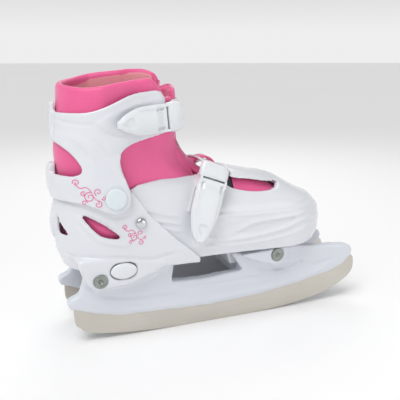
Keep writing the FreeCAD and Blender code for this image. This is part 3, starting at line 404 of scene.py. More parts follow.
# ---- rear shell ----
# The heel cup is a thin glossy moulding of white polypropylene. Its skirts are bolted over the rear
# tower, and it has a leaf window in each side and two small windows beside the spine.
gloss = moulded_white("moulded_white_polypropylene", "#E4E6EB", "#DADDE3", 0.16, 0.26, 1.6)
LEAF = [(-110.3, 100.6), (-101.1, 96.2), (-90.9, 89.7), (-81.7, 81.1), (-85.1, 81), (-96.4, 84.1),
        (-103.5, 91.1), (-108.3, 97.7)]
heel_cup = moulded("rear_shell_moulding", "rear_shell", 0.95, 4)
relief(heel_cup,
       lines=(([(-112, 101.5), (-109.5, 95.5), (-104, 88), (-97.5, 81.6), (-86, 77.8), (-72, 76)], 1.9, 0.9),
              ([(-108, 103.8), (-99, 98.8), (-89, 92), (-79, 83), (-73, 77.5)], 1.2, 0.55),
              ([(-122.6, 69.2), (-114.3, 68.1), (-98.7, 68.3), (-81.3, 66.7), (-61.7, 63.3), (-40, 67)], 1.1, -0.7),
              ([(-124, 110.2), (-106, 105.6), (-94.4, 100.2), (-85.5, 97), (-75, 99), (-69, 104)], 1.0, -0.5),
              ([(-69, 110), (-58.5, 96), (-40, 78), (-26, 66)], 1.0, 0.5)),
       panels=(([(-113, 66), (-111.5, 59), (-108, 51.5), (-102.5, 45.5), (-78, 46.6), (-56, 54.5), (-48, 60),
                 (-62, 62), (-82, 65), (-99, 66.6)], 1.6, 0.6),
               (LEAF, 5.0, -1.1)))
wear(heel_cup, gloss)
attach(heel_cup, "chassis")

# ---- size button ----
# An oval push-button of the same white plastic, on a sprung stem, frees the sliding toe half.
gloss_trim = moulded_white("moulded_white_acetal", "#E6E9EC", "#DEE2E6", 0.14, 0.24, 2.0)
OVAL_DOME = ((0.2, -11), (0.2, -0.4), (0.9, -0.4), (0.97, 0.2), (0.97, 1.3), (0.93, 1.9), (0.8, 2.35), (0.55, 2.65),
             (0.25, 2.75), (0.02, 2.8))
push = turned("size_button_dome", [(OVAL_DOME, (-81.6, 35.0, 56.5), -1, (10.1, 6.2))], 64)
wear(push, gloss_trim)
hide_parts("size_button")
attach(push, "size_button")

# Drawn spring wire and hinge pins: bright bare steel with fine drawing lines.
wire, tree, shader = principled("drawn_steel_wire", Metallic=1.0)
where = add_node(tree, "ShaderNodeTexCoord")
drawn = add_node(tree, "ShaderNodeTexNoise", {"Vector": where.outputs["Object"], "Scale": 1200.0})
hue = add_node(tree, "ShaderNodeMix", {0: drawn.outputs["Fac"], 6: linear("#B9BBBD"), 7: linear("#D5D7D9")},
               data_type="RGBA")
rough = add_node(tree, "ShaderNodeMapRange", {"Value": drawn.outputs["Fac"], 3: 0.2, 4: 0.35})
tree.links.new(hue.outputs[2], shader.inputs["Base Color"])
tree.links.new(rough.outputs[0], shader.inputs["Roughness"])
for node in ("size_button_spring", "instep_buckle_pin", "cuff_buckle_pin"):
    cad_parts[node].data.materials.clear()
    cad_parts[node].data.materials.append(wire)

# ---- liner foot and footbed ----
# The bootie's foot is foam laminated between stretch fabrics: a pink satin-faced outside that shows
# in the shell's windows, and a grey foam footbed lying inside.


def stretch_fabric(name, deep, bright, thread):
    """Stretch fabric laminated to foam: a fine knit, with painted sheen, random patches of lighter pink that stand
    for light caught on its creases.
    """
    material, tree, shader = principled(name, Sheen_Weight=0.35, Sheen_Roughness=0.4, IOR=1.45)
    where = add_node(tree, "ShaderNodeTexCoord")
    knit = [add_node(tree, "ShaderNodeTexWave", {"Vector": where.outputs["Object"], "Scale": 314 / thread,
                                                 "Distortion": 0.6}, bands_direction=way)
            for way in ("X", "Z")]
    weave = add_node(tree, "ShaderNodeMath", {0: knit[0].outputs["Fac"], 1: knit[1].outputs["Fac"]},
                     operation="MULTIPLY")
    folds_and_painted_sheen = add_node(tree, "ShaderNodeTexNoise", {"Vector": where.outputs["Object"], "Scale": 26.0,
                                                  "Detail": 2.0})
    blend = add_node(tree, "ShaderNodeMath", {0: folds_and_painted_sheen.outputs["Fac"], 1: weave.outputs[0]}, operation="ADD")
    # Painted sheen: the lighter second colour, mixed in by the crease noise, stands for light caught on the fabric.
    hue = add_node(tree, "ShaderNodeMix", {0: blend.outputs[0], 6: linear(deep), 7: linear(bright)},
                   data_type="RGBA")
    rough = add_node(tree, "ShaderNodeMapRange", {"Value": folds_and_painted_sheen.outputs["Fac"], 3: 0.38, 4: 0.56})
    soft = add_node(tree, "ShaderNodeBump", {"Height": folds_and_painted_sheen.outputs["Fac"], "Strength": 0.25,
                                             "Distance": 0.002})
    bump = add_node(tree, "ShaderNodeBump", {"Height": weave.outputs[0], "Strength": 0.18, "Distance": 0.0002,
                                             "Normal": soft.outputs[0]})
    tree.links.new(hue.outputs[2], shader.inputs["Base Color"])
    tree.links.new(rough.outputs[0], shader.inputs["Roughness"])
    tree.links.new(bump.outputs[0], shader.inputs["Normal"])
    return material


satin = stretch_fabric("pink_satin_knit", "#DE4C85", "#F26BA0", 0.9)
bootie = moulded("liner_bootie", "liner_foot", 1.6, 6)
relief(bootie, panels=((LEAF, 6.0, 3.0),))
wear(bootie, satin)
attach(bootie, "chassis")

foam, tree, shader = principled("grey_eva_foam", IOR=1.45, Roughness=0.85)
where = add_node(tree, "ShaderNodeTexCoord")
pores = add_node(tree, "ShaderNodeTexVoronoi", {"Vector": where.outputs["Object"], "Scale": 700.0})
hue = add_node(tree, "ShaderNodeMix", {0: pores.outputs["Distance"], 6: linear("#77787D"),
                                       7: linear("#8D8E94")}, data_type="RGBA")
bump = add_node(tree, "ShaderNodeBump", {"Height": pores.outputs["Distance"], "Strength": 0.3,
                                         "Distance": 0.0003})
tree.links.new(hue.outputs[2], shader.inputs["Base Color"])
tree.links.new(bump.outputs[0], shader.inputs["Normal"])
insole = moulded("footbed_foam", "footbed", 1.2, 5)
wear(insole, foam)
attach(insole, "chassis")

# ---- front shell and its guide rivets ----
# The toe half is the same glossy moulding. Its wings slide inside the rear shell on two domed chrome
# rivets, and the mould carries sweeping ridges round the toe.
toe_cap = moulded("front_shell_moulding", "front_shell", 0.75, 7)
spots, normals = corners(toe_cap)
crown = 2.6 * np.exp(-((spots[:, 0] - 56) / 13) ** 2 - (spots[:, 1] / 15) ** 2)
spots[:, 2] += crown * (normals[:, 2] > 0.2) * (spots[:, 2] > 100)
move_to(toe_cap, spots)
relief(toe_cap,
       lines=(([(-70, 105.5), (-61.5, 99.9), (-50.2, 96.2), (-36, 92.9)], 1.5, 1.0),
              ([(-64, 95), (-57, 91.6), (-50.3, 90.3), (-37, 87.2)], 1.3, 1.15),
              ([(-55, 87.4), (-50.3, 85.7), (-42.6, 83), (-34, 81.6)], 1.2, 0.6),
              ([(-16, 92.2), (9.5, 90.2), (26.4, 89.8), (44.4, 90), (62.1, 91), (76, 92.6), (90, 93)], 1.4, 0.95),
              ([(4, 75.5), (9.7, 77.8), (19.1, 82.3), (26.5, 84), (40.1, 85), (55.5, 86), (70, 87.5)], 1.3, 1.15),
              ([(-19, 76.8), (-6, 72.4), (8.2, 71.6), (23.8, 72.8), (38.7, 75), (50.6, 77.6), (61.5, 81.6),
                (74, 84.5)], 1.6, 1.35),
              ([(-20, 68.2), (2.3, 66.8), (24, 67.4), (45, 69.6), (63, 74), (78, 79.5)], 1.6, 1.05)),
       panels=(([(6, 76.4), (16, 81), (26.5, 83.2), (42, 84), (58, 85.2), (50, 80.5), (38.7, 77), (23.8, 74.8)],
                1.2, -1.0),
               ([(-10, 84.2), (4, 83.2), (16, 85), (8, 80), (-6, 78.4)], 2.0, -0.5)))
wear(toe_cap, gloss)
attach(toe_cap, "toe_half")

# Chrome plate: mirror bright, with the slight pitting of cheap plating.
chrome, tree, shader = principled("bright_chrome_plate", Metallic=1.0)
where = add_node(tree, "ShaderNodeTexCoord")
pits = add_node(tree, "ShaderNodeTexNoise", {"Vector": where.outputs["Object"], "Scale": 1500.0, "Detail": 2.0})
hue = add_node(tree, "ShaderNodeMix", {0: pits.outputs["Fac"], 6: linear("#C4C6C8"), 7: linear("#DCDEE0")},
               data_type="RGBA")
rough = add_node(tree, "ShaderNodeMapRange", {"Value": pits.outputs["Fac"], 3: 0.08, 4: 0.2})
tree.links.new(hue.outputs[2], shader.inputs["Base Color"])
tree.links.new(rough.outputs[0], shader.inputs["Roughness"])
DOME = ((2.2, -5.0), (2.2, 0), (3.9, 0), (4.1, 0.25), (4.0, 0.9), (3.55, 1.6), (2.7, 2.15), (1.6, 2.45), (0.5, 2.55),
        (0.05, 2.56))
studs = turned("guide_rivets_chrome", [(DOME, (-68, 37.4, 91.8), side, (1, 1)) for side in (-1, 1)])
wear(studs, chrome)
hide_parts("guide_rivets")
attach(studs, "chassis")

# ---- ankle liner ----
# The bootie's ankle is a padded sleeve open at the front, in the same pink satin knit, with a rolled
# collar, a salmon tricot lining, satin piping along its front edges and a padded tongue between them.
SLEEVE = ((108, -89, 28.5, -30, 24), (118, -90, 29.0, -38, 25), (124, -91, 29.5, -46, 26.4),
          (132, -90.5, 31, -54, 27), (142, -90, 32, -57.5, 27.5), (160, -86.5, 33, -59, 28),
          (180, -84.5, 34, -60, 29), (204, -82, 34, -61, 29))
RIM = ((-125, 189.0), (-104, 190.2), (-81.6, 194.1), (-59, 197), (-40, 198), (-20, 198))


def table_at(rows, key):
    """Read a table of rows at a key, in a straight line between its rows."""
    rows = np.array(rows)
    return [float(np.interp(key, rows[:, 0], rows[:, i])) for i in range(1, rows.shape[1])]


def round_point(share, z, grow, gap):
    """A point of the sleeve's plan outline, from its front edge on the outer side round the back."""
    back, back_r, front, front_r = table_at(SLEEVE, z)
    back_r, front_r = back_r + grow, front_r + grow
    side = -1 if share < 0.5 else 1
    along = share if share < 0.5 else 1 - share
    first = math.asin(min(gap / front_r, 0.95))
    lean = math.acos(min(max((back_r - front_r) / (front - back), -1), 1))
    if along < 0.16:
        turn = first + (math.pi - lean - first) * along / 0.16
        return front + front_r * math.cos(turn), side * front_r * math.sin(turn)
    if along < 0.26:
        step = (along - 0.16) / 0.10
        turn = math.pi - lean
        x = front + front_r * math.cos(turn) + (back - front + (back_r - front_r) * math.cos(turn)) * step
        y = front_r * math.sin(turn) + (back_r - front_r) * math.sin(turn) * step
        return x, side * y
    turn = math.pi - lean + lean * (along - 0.26) / 0.24
    return back + back_r * math.cos(turn), side * back_r * math.sin(turn)


def rim_height(x, y):
    """Height of the collar's rim: higher on the inner side, and rounded off at the outer front edge."""
    dip = min(max((x + 58) / 14, 0), 1) ** 1.6 if y < 0 else min(max((x + 50) / 12, 0), 1) ** 2 * 0.3
    return table_at(RIM, x)[0] + 0.11 * y - 15 * dip


def sleeve_mesh(name, profile, around, gap):
    """Loft a closed profile of (height share, growth) round the leg."""
    points, faces = [], []
    for i in range(around + 1):
        share = i / around
        for rise, grow in profile:
            z = 150.0
            for _ in range(3):
                x, y = round_point(share, z, grow, gap)
                z = 108 + (rim_height(x, y) - 108) * rise
            points.append((*round_point(share, z, grow, gap), z))
    rows = len(profile)
    for i in range(around):
        for j in range(rows):
            a, b = i * rows + j, i * rows + (j + 1) % rows
            faces.append((a, b, b + rows, a + rows))
    faces += [tuple(range(rows))[::-1], tuple(range(around * rows, around * rows + rows))]
    mesh = bpy.data.meshes.new(name)
    mesh.from_pydata([placed(*p) for p in points], [], faces)
    return finished(name, mesh)


rises = np.linspace(0, 0.955, 26)
outer = [(r, 0.5 * math.sin(min(r * 6, 1) * math.pi / 2) - (0.7 * math.exp(-((r - 0.86) / 0.02) ** 2)))
         for r in rises]
roll = [(0.975, 0.55), (0.99, 0.1), (1.0, -0.9), (1.003, -2.1), (0.998, -3.3), (0.985, -4.2), (0.965, -4.6)]
inner = [(r, -4.4) for r in rises[::-2]]
sleeve = sleeve_mesh("liner_sleeve", outer + roll + inner, 132, 16.5)


def stuffed(piece, pressure, most):
    """Let cloth pressure swell a padded piece, no point moving further than most millimetres."""
    start = np.array([v.co for v in piece.data.vertices])
    cloth = piece.modifiers.new("stuffing", "CLOTH")
    cloth.settings.use_pressure = True
    cloth.settings.uniform_pressure_force = pressure
    cloth.settings.effector_weights.gravity = 0
    cloth.settings.quality = 4
    for frame_number in range(1, 15):
        bpy.context.scene.frame_set(frame_number)
    depth = piece.evaluated_get(bpy.context.evaluated_depsgraph_get())
    moved = np.array([v.co for v in depth.data.vertices]) - start
    piece.modifiers.clear()
    bpy.context.scene.frame_set(1)
    moved -= moved.mean(0)
    reach = np.linalg.norm(moved, axis=1)[:, None] + 1e-9
    moved *= np.minimum(reach, most / 1000) / reach
    piece.data.vertices.foreach_set("co", (start + moved).ravel())
    piece.data.update()


def divided(piece, levels=1):
    """Round a piece off with a subdivision surface, applied."""
    piece.modifiers.new("round", "SUBSURF").levels = levels
    mesh = bpy.data.meshes.new_from_object(piece.evaluated_get(bpy.context.evaluated_depsgraph_get()))
    piece.modifiers.clear()
    piece.data = mesh
    mesh.polygons.foreach_set("use_smooth", [True] * len(mesh.polygons))


stuffed(sleeve, 3.0, 0.8)
divided(sleeve)
wear(sleeve, satin)
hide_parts("liner_ankle")
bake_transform(sleeve)

# Brushed tricot: a dull salmon nap with no shine, worn a little lighter where the ankle rubs.
tricot, tree, shader = principled("brushed_salmon_tricot", IOR=1.45, Roughness=0.9, Sheen_Weight=0.5,
                                  Sheen_Roughness=0.5)
where = add_node(tree, "ShaderNodeTexCoord")
nap = add_node(tree, "ShaderNodeTexNoise", {"Vector": where.outputs["Object"], "Scale": 900.0, "Detail": 4.0})
rub = add_node(tree, "ShaderNodeTexNoise", {"Vector": where.outputs["Object"], "Scale": 30.0})
both = add_node(tree, "ShaderNodeMath", {0: nap.outputs["Fac"], 1: rub.outputs["Fac"]}, operation="MULTIPLY")
hue = add_node(tree, "ShaderNodeMix", {0: both.outputs[0], 6: linear("#E58F9A"), 7: linear("#F6BBBD")},
               data_type="RGBA")
bump = add_node(tree, "ShaderNodeBump", {"Height": nap.outputs["Fac"], "Strength": 0.3, "Distance": 0.0004})
tree.links.new(hue.outputs[2], shader.inputs["Base Color"])
tree.links.new(bump.outputs[0], shader.inputs["Normal"])
lining = sleeve_mesh("collar_lining_tricot",
                        [(r, -4.35) for r in np.linspace(0.35, 0.965, 14)] + [(0.97, -4.9)]
                        + [(r, -5.2) for r in np.linspace(0.95, 0.35, 14)], 120, 15.5)
divided(lining)
wear(lining, tricot)
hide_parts("collar_lining")
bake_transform(lining)


def tube(name, path, radius, facets=10):
    """A round cord along points in boot millimetres."""
    line = [np.array(p) for p in path]
    points, faces = [], []
    for i, spot in enumerate(line):
        ahead = line[min(i + 1, len(line) - 1)] - line[max(i - 1, 0)]
        ahead = ahead / np.linalg.norm(ahead)
        across = np.cross(ahead, (0.3, 1.0, 0.1))
        across /= np.linalg.norm(across)
        up = np.cross(ahead, across)
        for k in range(facets):
            turn = 2 * math.pi * k / facets
            points.append(placed(*(spot + radius * (across * math.cos(turn) + up * math.sin(turn)))))
    for i in range(len(line) - 1):
        for k in range(facets):
            a, b = i * facets + k, i * facets + (k + 1) % facets
            faces.append((a, b, b + facets, a + facets))
    faces += [tuple(range(facets)), tuple(range(len(points) - facets, len(points)))[::-1]]
    mesh = bpy.data.meshes.new(name)
    mesh.from_pydata(points, [], faces)
    return finished(name, mesh)


# Satin piping: a paler pink tape folded over a cord, with a soft bright line along it.
tape = stretch_fabric("pale_satin_piping_tape", "#F09DBD", "#F8BDD2", 0.7)
for side, share in (("outer", 0.0), ("inner", 1.0)):
    edge = []
    for rise in np.linspace(0.02, 0.95, 40):
        z = 150.0
        for _ in range(3):
            x, y = round_point(share, z, 0.3, 16.6)
            z = 108 + (rim_height(x, y) - 108) * rise
        edge.append((x + 0.2, y, z))
    piping = tube("piping_" + side, edge, 0.8)
    wear(piping, tape)
    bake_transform(piping)

TONGUE = [(-32.6, 189.5, 15.5), (-30.8, 186.5, 16.8), (-30.2, 181.5, 17.2), (-30.0, 174, 17), (-30.6, 166, 17),
          (-31.2, 156, 17), (-30.5, 149, 17), (-27.4, 141.5, 17.3), (-22.0, 134.5, 17.6), (-15.5, 128.3, 18),
          (-8.0, 123.0, 17.5), (0.0, 119.6, 15), (8, 117.6, 12)]
middle_line = smooth_line([p[:2] for p in TONGUE], 5)
half_wide = np.interp(np.arange(len(middle_line)) / 5, range(len(TONGUE)), [p[2] for p in TONGUE])
points, faces = [], []
ACROSS = 20
for i, (x, z) in enumerate(middle_line):
    behind, ahead = middle_line[max(i - 1, 0)], middle_line[min(i + 1, len(middle_line) - 1)]
    run = np.array(ahead) - np.array(behind)
    run /= np.linalg.norm(run)
    inward = np.array([run[1], -run[0]])
    end = min(i, len(middle_line) - 1 - i) / 4
    close = math.sqrt(1 - (1 - min(end, 1)) ** 2) if end < 1 else 1
    for layer in (0, 1):
        for k in range(ACROSS):
            share = -1 + 2 * k / (ACROSS - 1)
            turn = share * half_wide[i] / 24
            fat = 5.2 * close * (1 - abs(share) ** 4) ** 0.5 + 0.4
            sink = 24 * (1 - math.cos(turn)) + (fat if layer else 0.35 * (1 - close))
            points.append(placed(x + inward[0] * sink, 24 * math.sin(turn), z + inward[1] * sink))
loop = 2 * ACROSS
order = list(range(ACROSS)) + list(range(2 * ACROSS - 1, ACROSS - 1, -1))
for i in range(len(middle_line) - 1):
    for k in range(loop):
        a, b = i * loop + order[k], i * loop + order[(k + 1) % loop]
        faces.append((a, a + loop, b + loop, b))
faces += [tuple(order), tuple((len(middle_line) - 1) * loop + k for k in order)[::-1]]
mesh = bpy.data.meshes.new("liner_tongue")
mesh.from_pydata(points, [], faces)
tongue = finished("liner_tongue", mesh)
stuffed(tongue, 2.5, 0.7)
divided(tongue)
wear(tongue, satin)
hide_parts("tongue_upper", "tongue_lower")
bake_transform(tongue)


def ribbon(name, path, wide, thick):
    """A flat tape along points in boot millimetres, lying level across the skate. Its ends are square
    and its long edges are eased."""
    line = [np.array((x, z)) for x, z in smooth_line(path, 6)]
    section = [(-1, -0.6), (-0.97, -1), (-0.5, -1), (0, -1), (0.5, -1), (0.97, -1), (1, -0.6), (1, 0.6),
               (0.97, 1), (0.5, 1), (0, 1), (-0.5, 1), (-0.97, 1), (-1, 0.6)]
    points, faces = [], []
    for i, spot in enumerate(line):
        run = line[min(i + 1, len(line) - 1)] - line[max(i - 1, 0)]
        run /= np.linalg.norm(run)
        up = np.array([-run[1], run[0]])
        for a, b in section:
            here = spot + up * b * thick / 2
            points.append((here[0], a * wide / 2, here[1]))
    rows = len(section)
    for i in range(len(line) - 1):
        for k in range(rows):
            a, b = i * rows + k, i * rows + (k + 1) % rows
            faces.append((a, b, b + rows, a + rows))
    faces += [tuple(range(rows))[::-1], tuple(range(len(points) - rows, len(points)))]
    return points, faces


def from_points(name, points, faces):
    mesh = bpy.data.meshes.new(name)
    mesh.from_pydata([placed(*p) for p in points], [], faces)
    return finished(name, mesh)


# The pull loop is a folded pink tape sewn to the tongue; black webbing crosses the bootie's toe.
pull = from_points("tongue_pull_loop", *ribbon("loop", [(-17, 126.8), (-13.5, 130), (-8.5, 131.6), (-3.0, 130.9),
                                                        (1.4, 127), (3.5, 121.5), (4.5, 117.5)], 12, 1.5))
wear(pull, satin)
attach(pull, "chassis")

web, tree, shader = principled("black_polyester_webbing", IOR=1.5)
where = add_node(tree, "ShaderNodeTexCoord")
ribs = add_node(tree, "ShaderNodeTexWave", {"Vector": where.outputs["Object"], "Scale": 300.0},
                bands_direction="Y")
hue = add_node(tree, "ShaderNodeMix", {0: ribs.outputs["Fac"], 6: linear("#1C1B1E"), 7: linear("#37363A")},
               data_type="RGBA")
rough = add_node(tree, "ShaderNodeMapRange", {"Value": ribs.outputs["Fac"], 3: 0.5, 4: 0.7})
bump = add_node(tree, "ShaderNodeBump", {"Height": ribs.outputs["Fac"], "Strength": 0.5, "Distance": 0.0004})
tree.links.new(hue.outputs[2], shader.inputs["Base Color"])
tree.links.new(rough.outputs[0], shader.inputs["Roughness"])
tree.links.new(bump.outputs[0], shader.inputs["Normal"])


def top_of(pieces, x, y):
    """Height of the highest of some pieces at a spot of the plan."""
    best = 0.0
    for tree_of in pieces:
        hit = tree_of.ray_cast(placed(x, y, 260), Vector((0, 0, -1)))[0]
        if hit:
            best = max(best, hit.z * 1000)
    return best


def skin_of(piece):
    return BVHTree.FromPolygons([v.co for v in piece.data.vertices], [p.vertices for p in piece.data.polygons])


bootie_skin = skin_of(bootie)
points, faces = [], []
for i in range(41):
    y = -26 + 52 * i / 40
    for x in (5.0, 11.0):
        z = top_of([bootie_skin], x, y)
        for lift in (0.1, 1.3):
            points.append((x, y, z + lift))
for i in range(40):
    a = 4 * i
    faces += [(a + 1, a + 3, a + 7, a + 5), (a, a + 4, a + 6, a + 2), (a, a + 1, a + 5, a + 4),
              (a + 2, a + 6, a + 7, a + 3)]
webbing = from_points("toe_webbing", points, faces)
wear(webbing, web)
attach(webbing, "chassis")

# ---- cuff and ankle pivots ----
# The wrap-round cuff is the same glossy moulding, open at the back in a petal window, with a band
# round the calf and an arm down to each pivot. Domed caps snap over the pivot pins.
collar = moulded("cuff_moulding", "cuff", 0.95, 4)
PETAL = [(-126, 151.5), (-123.9, 151), (-119.3, 148), (-114.3, 143.8), (-110.1, 138.4), (-107.3, 132.8),
         (-108.9, 129.4), (-113.5, 127.8), (-121, 127.3), (-126, 127.8)]
relief(collar,
       lines=(([(-122, 166.5), (-114, 164.5), (-104, 163.6), (-97, 164.2)], 1.1, -0.5),
              ([(-116, 156), (-109, 152.5), (-103, 146.5), (-99.5, 139), (-99, 131), (-101, 124.5)], 2.2, 0.8),
              ([(-101, 158.5), (-94, 151.5), (-88, 143), (-84.5, 133), (-82.6, 122)], 1.8, 0.8),
              ([(-96.5, 163.5), (-91, 158), (-84, 155.2), (-76, 153.6)], 1.2, -0.5),
              ([(-78, 151), (-66, 154), (-50, 157.5)], 1.5, 0.4)),
       panels=(([(-96.9, 164.4), (-91.8, 168.2), (-84.8, 172), (-73, 176.9), (-60.3, 179.2), (-45, 180.2),
                 (-44, 158.5), (-58, 156), (-75, 155.5), (-83.4, 157), (-90.1, 159.2), (-94.1, 161.6)],
                1.6, 0.8),
               ([(-86 + 11.2 * math.cos(a), 111.8 + 11.2 * math.sin(a)) for a in np.linspace(0, 5.8, 14)],
                1.2, 0.5)))
wear(collar, gloss)
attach(collar, "ankle_cuff")

CAP = ((5.0, -4.0), (5.0, 0.1), (7.3, 0.1), (7.65, 0.3), (7.65, 1.1), (7.35, 1.55), (6.6, 1.8), (5.0, 1.95),
       (2.5, 2.02), (0.1, 2.04))
bluish = moulded_white("moulded_bluish_acetal", "#E2EBEF", "#DCE6EA", 0.18, 0.28, 1.4)
caps = turned("ankle_pivot_caps_domed", [(CAP, (-86, 39.2, 111.8), side, (1, 1)) for side in (-1, 1)], 64)
wear(caps, bluish)
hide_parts("ankle_pivot_caps")
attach(caps, "chassis")
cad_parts["ankle_pivot_pins"].data.materials.clear()
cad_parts["ankle_pivot_pins"].data.materials.append(gloss_trim)

# ---- buckles and ladder straps ----
# Each closure is a ratchet buckle moulded in white acetal: a base riveted to the wall, a teardrop
# lever on a steel pin, and a toothed ladder strap that runs under it to a rivet on the inner side.


def shield(name, place, stations, low, high, detail, square=False):
    """A rounded plate in a buckle's own frame: stations of (height, left, right) give its outline, and
    detail changes the height of its outer face. Its last end may be left square, to meet a lever."""
    line = smooth_line(stations, 10)
    points, faces = [], []
    across = [math.sin(k / 22 * math.pi / 2) for k in range(-22, 23)]
    for i, (z, left, right) in enumerate(line):
        end = (i if square else min(i, len(line) - 1 - i)) / 5
        ease = (1 - (1 - min(end, 1)) ** 3) ** (1 / 3)
        for layer in (0, 1):
            for u in across:
                x = (left + right) / 2 + (right - left) / 2 * u
                round_off = (1 - abs(u) ** 7) ** 0.4 * ease
                face = low + (high - low) * (0.15 + 0.85 * round_off)
                if not layer:
                    face += detail(x, z) * min(round_off * 1.4, 1)
                spot = place @ Vector((x / 1000, -(low if layer else face) / 1000, z / 1000))
                points.append(spot)
    wide = len(across)
    order = list(range(wide)) + list(range(2 * wide - 1, wide - 1, -1))
    for i in range(len(line) - 1):
        for k in range(2 * wide):
            a = i * 2 * wide + order[k]
            b = i * 2 * wide + order[(k + 1) % (2 * wide)]
            faces.append((a, b, b + 2 * wide, a + 2 * wide))
    faces += [tuple(order)[::-1], tuple((len(line) - 1) * 2 * wide + k for k in order)]
    mesh = bpy.data.meshes.new(name)
    mesh.from_pydata(points, [], faces)
    return finished(name, mesh)


def merged(name, pieces):
    """Join several meshes into one piece."""
    points, faces = [], []
    for piece in pieces:
        first = len(points)
        points += [v.co.copy() for v in piece.data.vertices]
        faces += [tuple(first + v for v in p.vertices) for p in piece.data.polygons]
        bpy.data.objects.remove(piece)
    mesh = bpy.data.meshes.new(name)
    mesh.from_pydata(points, [], faces)
    return finished(name, mesh)


def dent(x, z, x0, x1, z0, z1, deep, soft=0.5):
    """A moulded recess with steep walls."""
    inner = min((x - x0) / soft, (x1 - x) / soft, (z - z0) / soft, (z1 - z) / soft)
    return -deep * min(max(inner + 0.5, 0), 1)


INSTEP = (Matrix.Translation(placed(-12.3075, -36.9769, 117.3866)) @ Matrix.Rotation(math.radians(20.1576), 4, "Y")
          @ Matrix.Rotation(math.radians(-12.1851), 4, "X"))
CUFF = (Matrix.Translation(placed(-48.8484, -36.9788, 166.6016)) @ Matrix.Rotation(math.radians(84.9575), 4, "Y")
        @ Matrix.Rotation(math.radians(-10.0322), 4, "X"))


def lever_face(x, z, length, half):
    """Dome, hinge slots, side flutes and the finger dent of a lever's outer face."""
    rise = (1.1 * (1 - (x / half) ** 2) + 0.4) * min(max(-(z + 2) / 5, 0), 1) - 0.4
    rise += dent(abs(x), z, half - 4.6, half - 2.6, -6.5, -1.2, 1.7)
    rise += dent(abs(x), z, half - 3.4, half - 2.6, -length * 0.55, -8.5, 0.5)
    tip = -length * 0.82
    reach = 1 - abs(x) / 4.2 - max((tip + 2 - z) / 7.0, 0)
    if tip - 6 < z < tip + 5.5:
        rise -= 0.8 * min(max(reach * 2.0, 0), 1) * min((tip + 5.5 - z), 1)
    return rise


for label, place, length, half, body, lever_body, wall in (
        ("instep", INSTEP, 46.0, 11.6, "toe_half", "instep_lever", 4.6),
        ("cuff", CUFF, 36.0, 10.2, "ankle_cuff", "cuff_lever", 4.6)):
    outline = [(1.6, -half + 0.4, half - 0.4), (-2, -half + 0.1, half - 0.1),
               (-length * 0.3, -half, half), (-length * 0.52, -half + 0.4, half - 0.4),
               (-length * 0.7, -half + 2.2, half - 2.2), (-length * 0.84, -half + 4.4, half - 4.4),
               (-length * 0.93, -half + 6.6, half - 6.6), (-length, -2.2, 2.2)]
    lever = shield(label + "_lever_moulding", place, outline, -1.0, 2.4,
                   lambda x, z: lever_face(x, z, length, half))
    wear(lever, gloss_trim)
    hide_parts(label + "_lever")
    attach(lever, lever_body)

    bridge = shield("bridge", place, [(14.5, -half + 2.0, half - 2.0), (12.5, -half + 0.3, half - 0.3),
                                      (8, -half - 0.4, half + 0.4), (2.8, -half - 0.1, half + 0.1)],
                    -2.2, 2.3, lambda x, z: (0.9 * (1 - (x / half) ** 2) * min((z - 2.8) / 4, 1)
                                             - 0.012 * max(z - 4, 0) ** 2), True)
    bed = to_scene(bpy.data.objects.new("bed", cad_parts[label + "_buckle_base"].data.copy()))
    base = merged(label + "_buckle_base_moulding", [bridge, bed])
    wear(base, gloss_trim)
    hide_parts(label + "_buckle_base")
    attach(base, body)
    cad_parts[label + "_rivets"].data.materials.clear()
    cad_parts[label + "_rivets"].data.materials.append(chrome)


def ladder(name, path, across, wides, thick, teeth):
    """A toothed strap along a smooth path in boot millimetres. across gives its width direction at
    each point, and teeth the first and last shares of its length that carry teeth."""
    line = [np.array(p) for p in smooth_line(path, 16)]
    lengths = np.cumsum([0] + [np.linalg.norm(b - a) for a, b in zip(line, line[1:])])
    section = [(-1, 0), (-0.98, -0.7), (-0.93, -1), (-0.6, -1), (-0.55, -1), (0, -1), (0.55, -1), (0.6, -1),
               (0.93, -1), (0.98, -0.7), (1, 0), (0.98, 0.7), (0.93, 1), (0.6, 1), (0.55, 1.01), (0, 1.01),
               (-0.55, 1.01), (-0.6, 1), (-0.93, 1), (-0.98, 0.7)]
    points, faces = [], []
    for i, spot in enumerate(line):
        run = line[min(i + 1, len(line) - 1)] - line[max(i - 1, 0)]
        run /= np.linalg.norm(run)
        side = np.array(across, float)
        side -= run * (side @ run)
        side /= np.linalg.norm(side)
        out = np.cross(run, side)
        share = lengths[i] / lengths[-1]
        tooth = 0.9 * ((lengths[i] / 3.2) % 1) if teeth[0] < share < teeth[1] else 0.0
        wide = float(np.interp(share, *zip(*wides)))
        for a, b in section:
            lift = tooth if b > 1.005 else 0.0
            points.append(spot + side * a * wide / 2 + out * (b * thick / 2 + lift))
    rows = len(section)
    for i in range(len(line) - 1):
        for k in range(rows):
            a, b = i * rows + k, i * rows + (k + 1) % rows
            faces.append((a, b, b + rows, a + rows))
    faces += [tuple(range(rows))[::-1], tuple(range(len(points) - rows, len(points)))]
    return from_points(name, points, faces)


def in_buckle(place, y, z):
    spot = place @ Vector((0, y / 1000, z / 1000))
    return spot.x * 1000, (spot.y - BOOT_MIDDLE) * 1000, spot.z * 1000


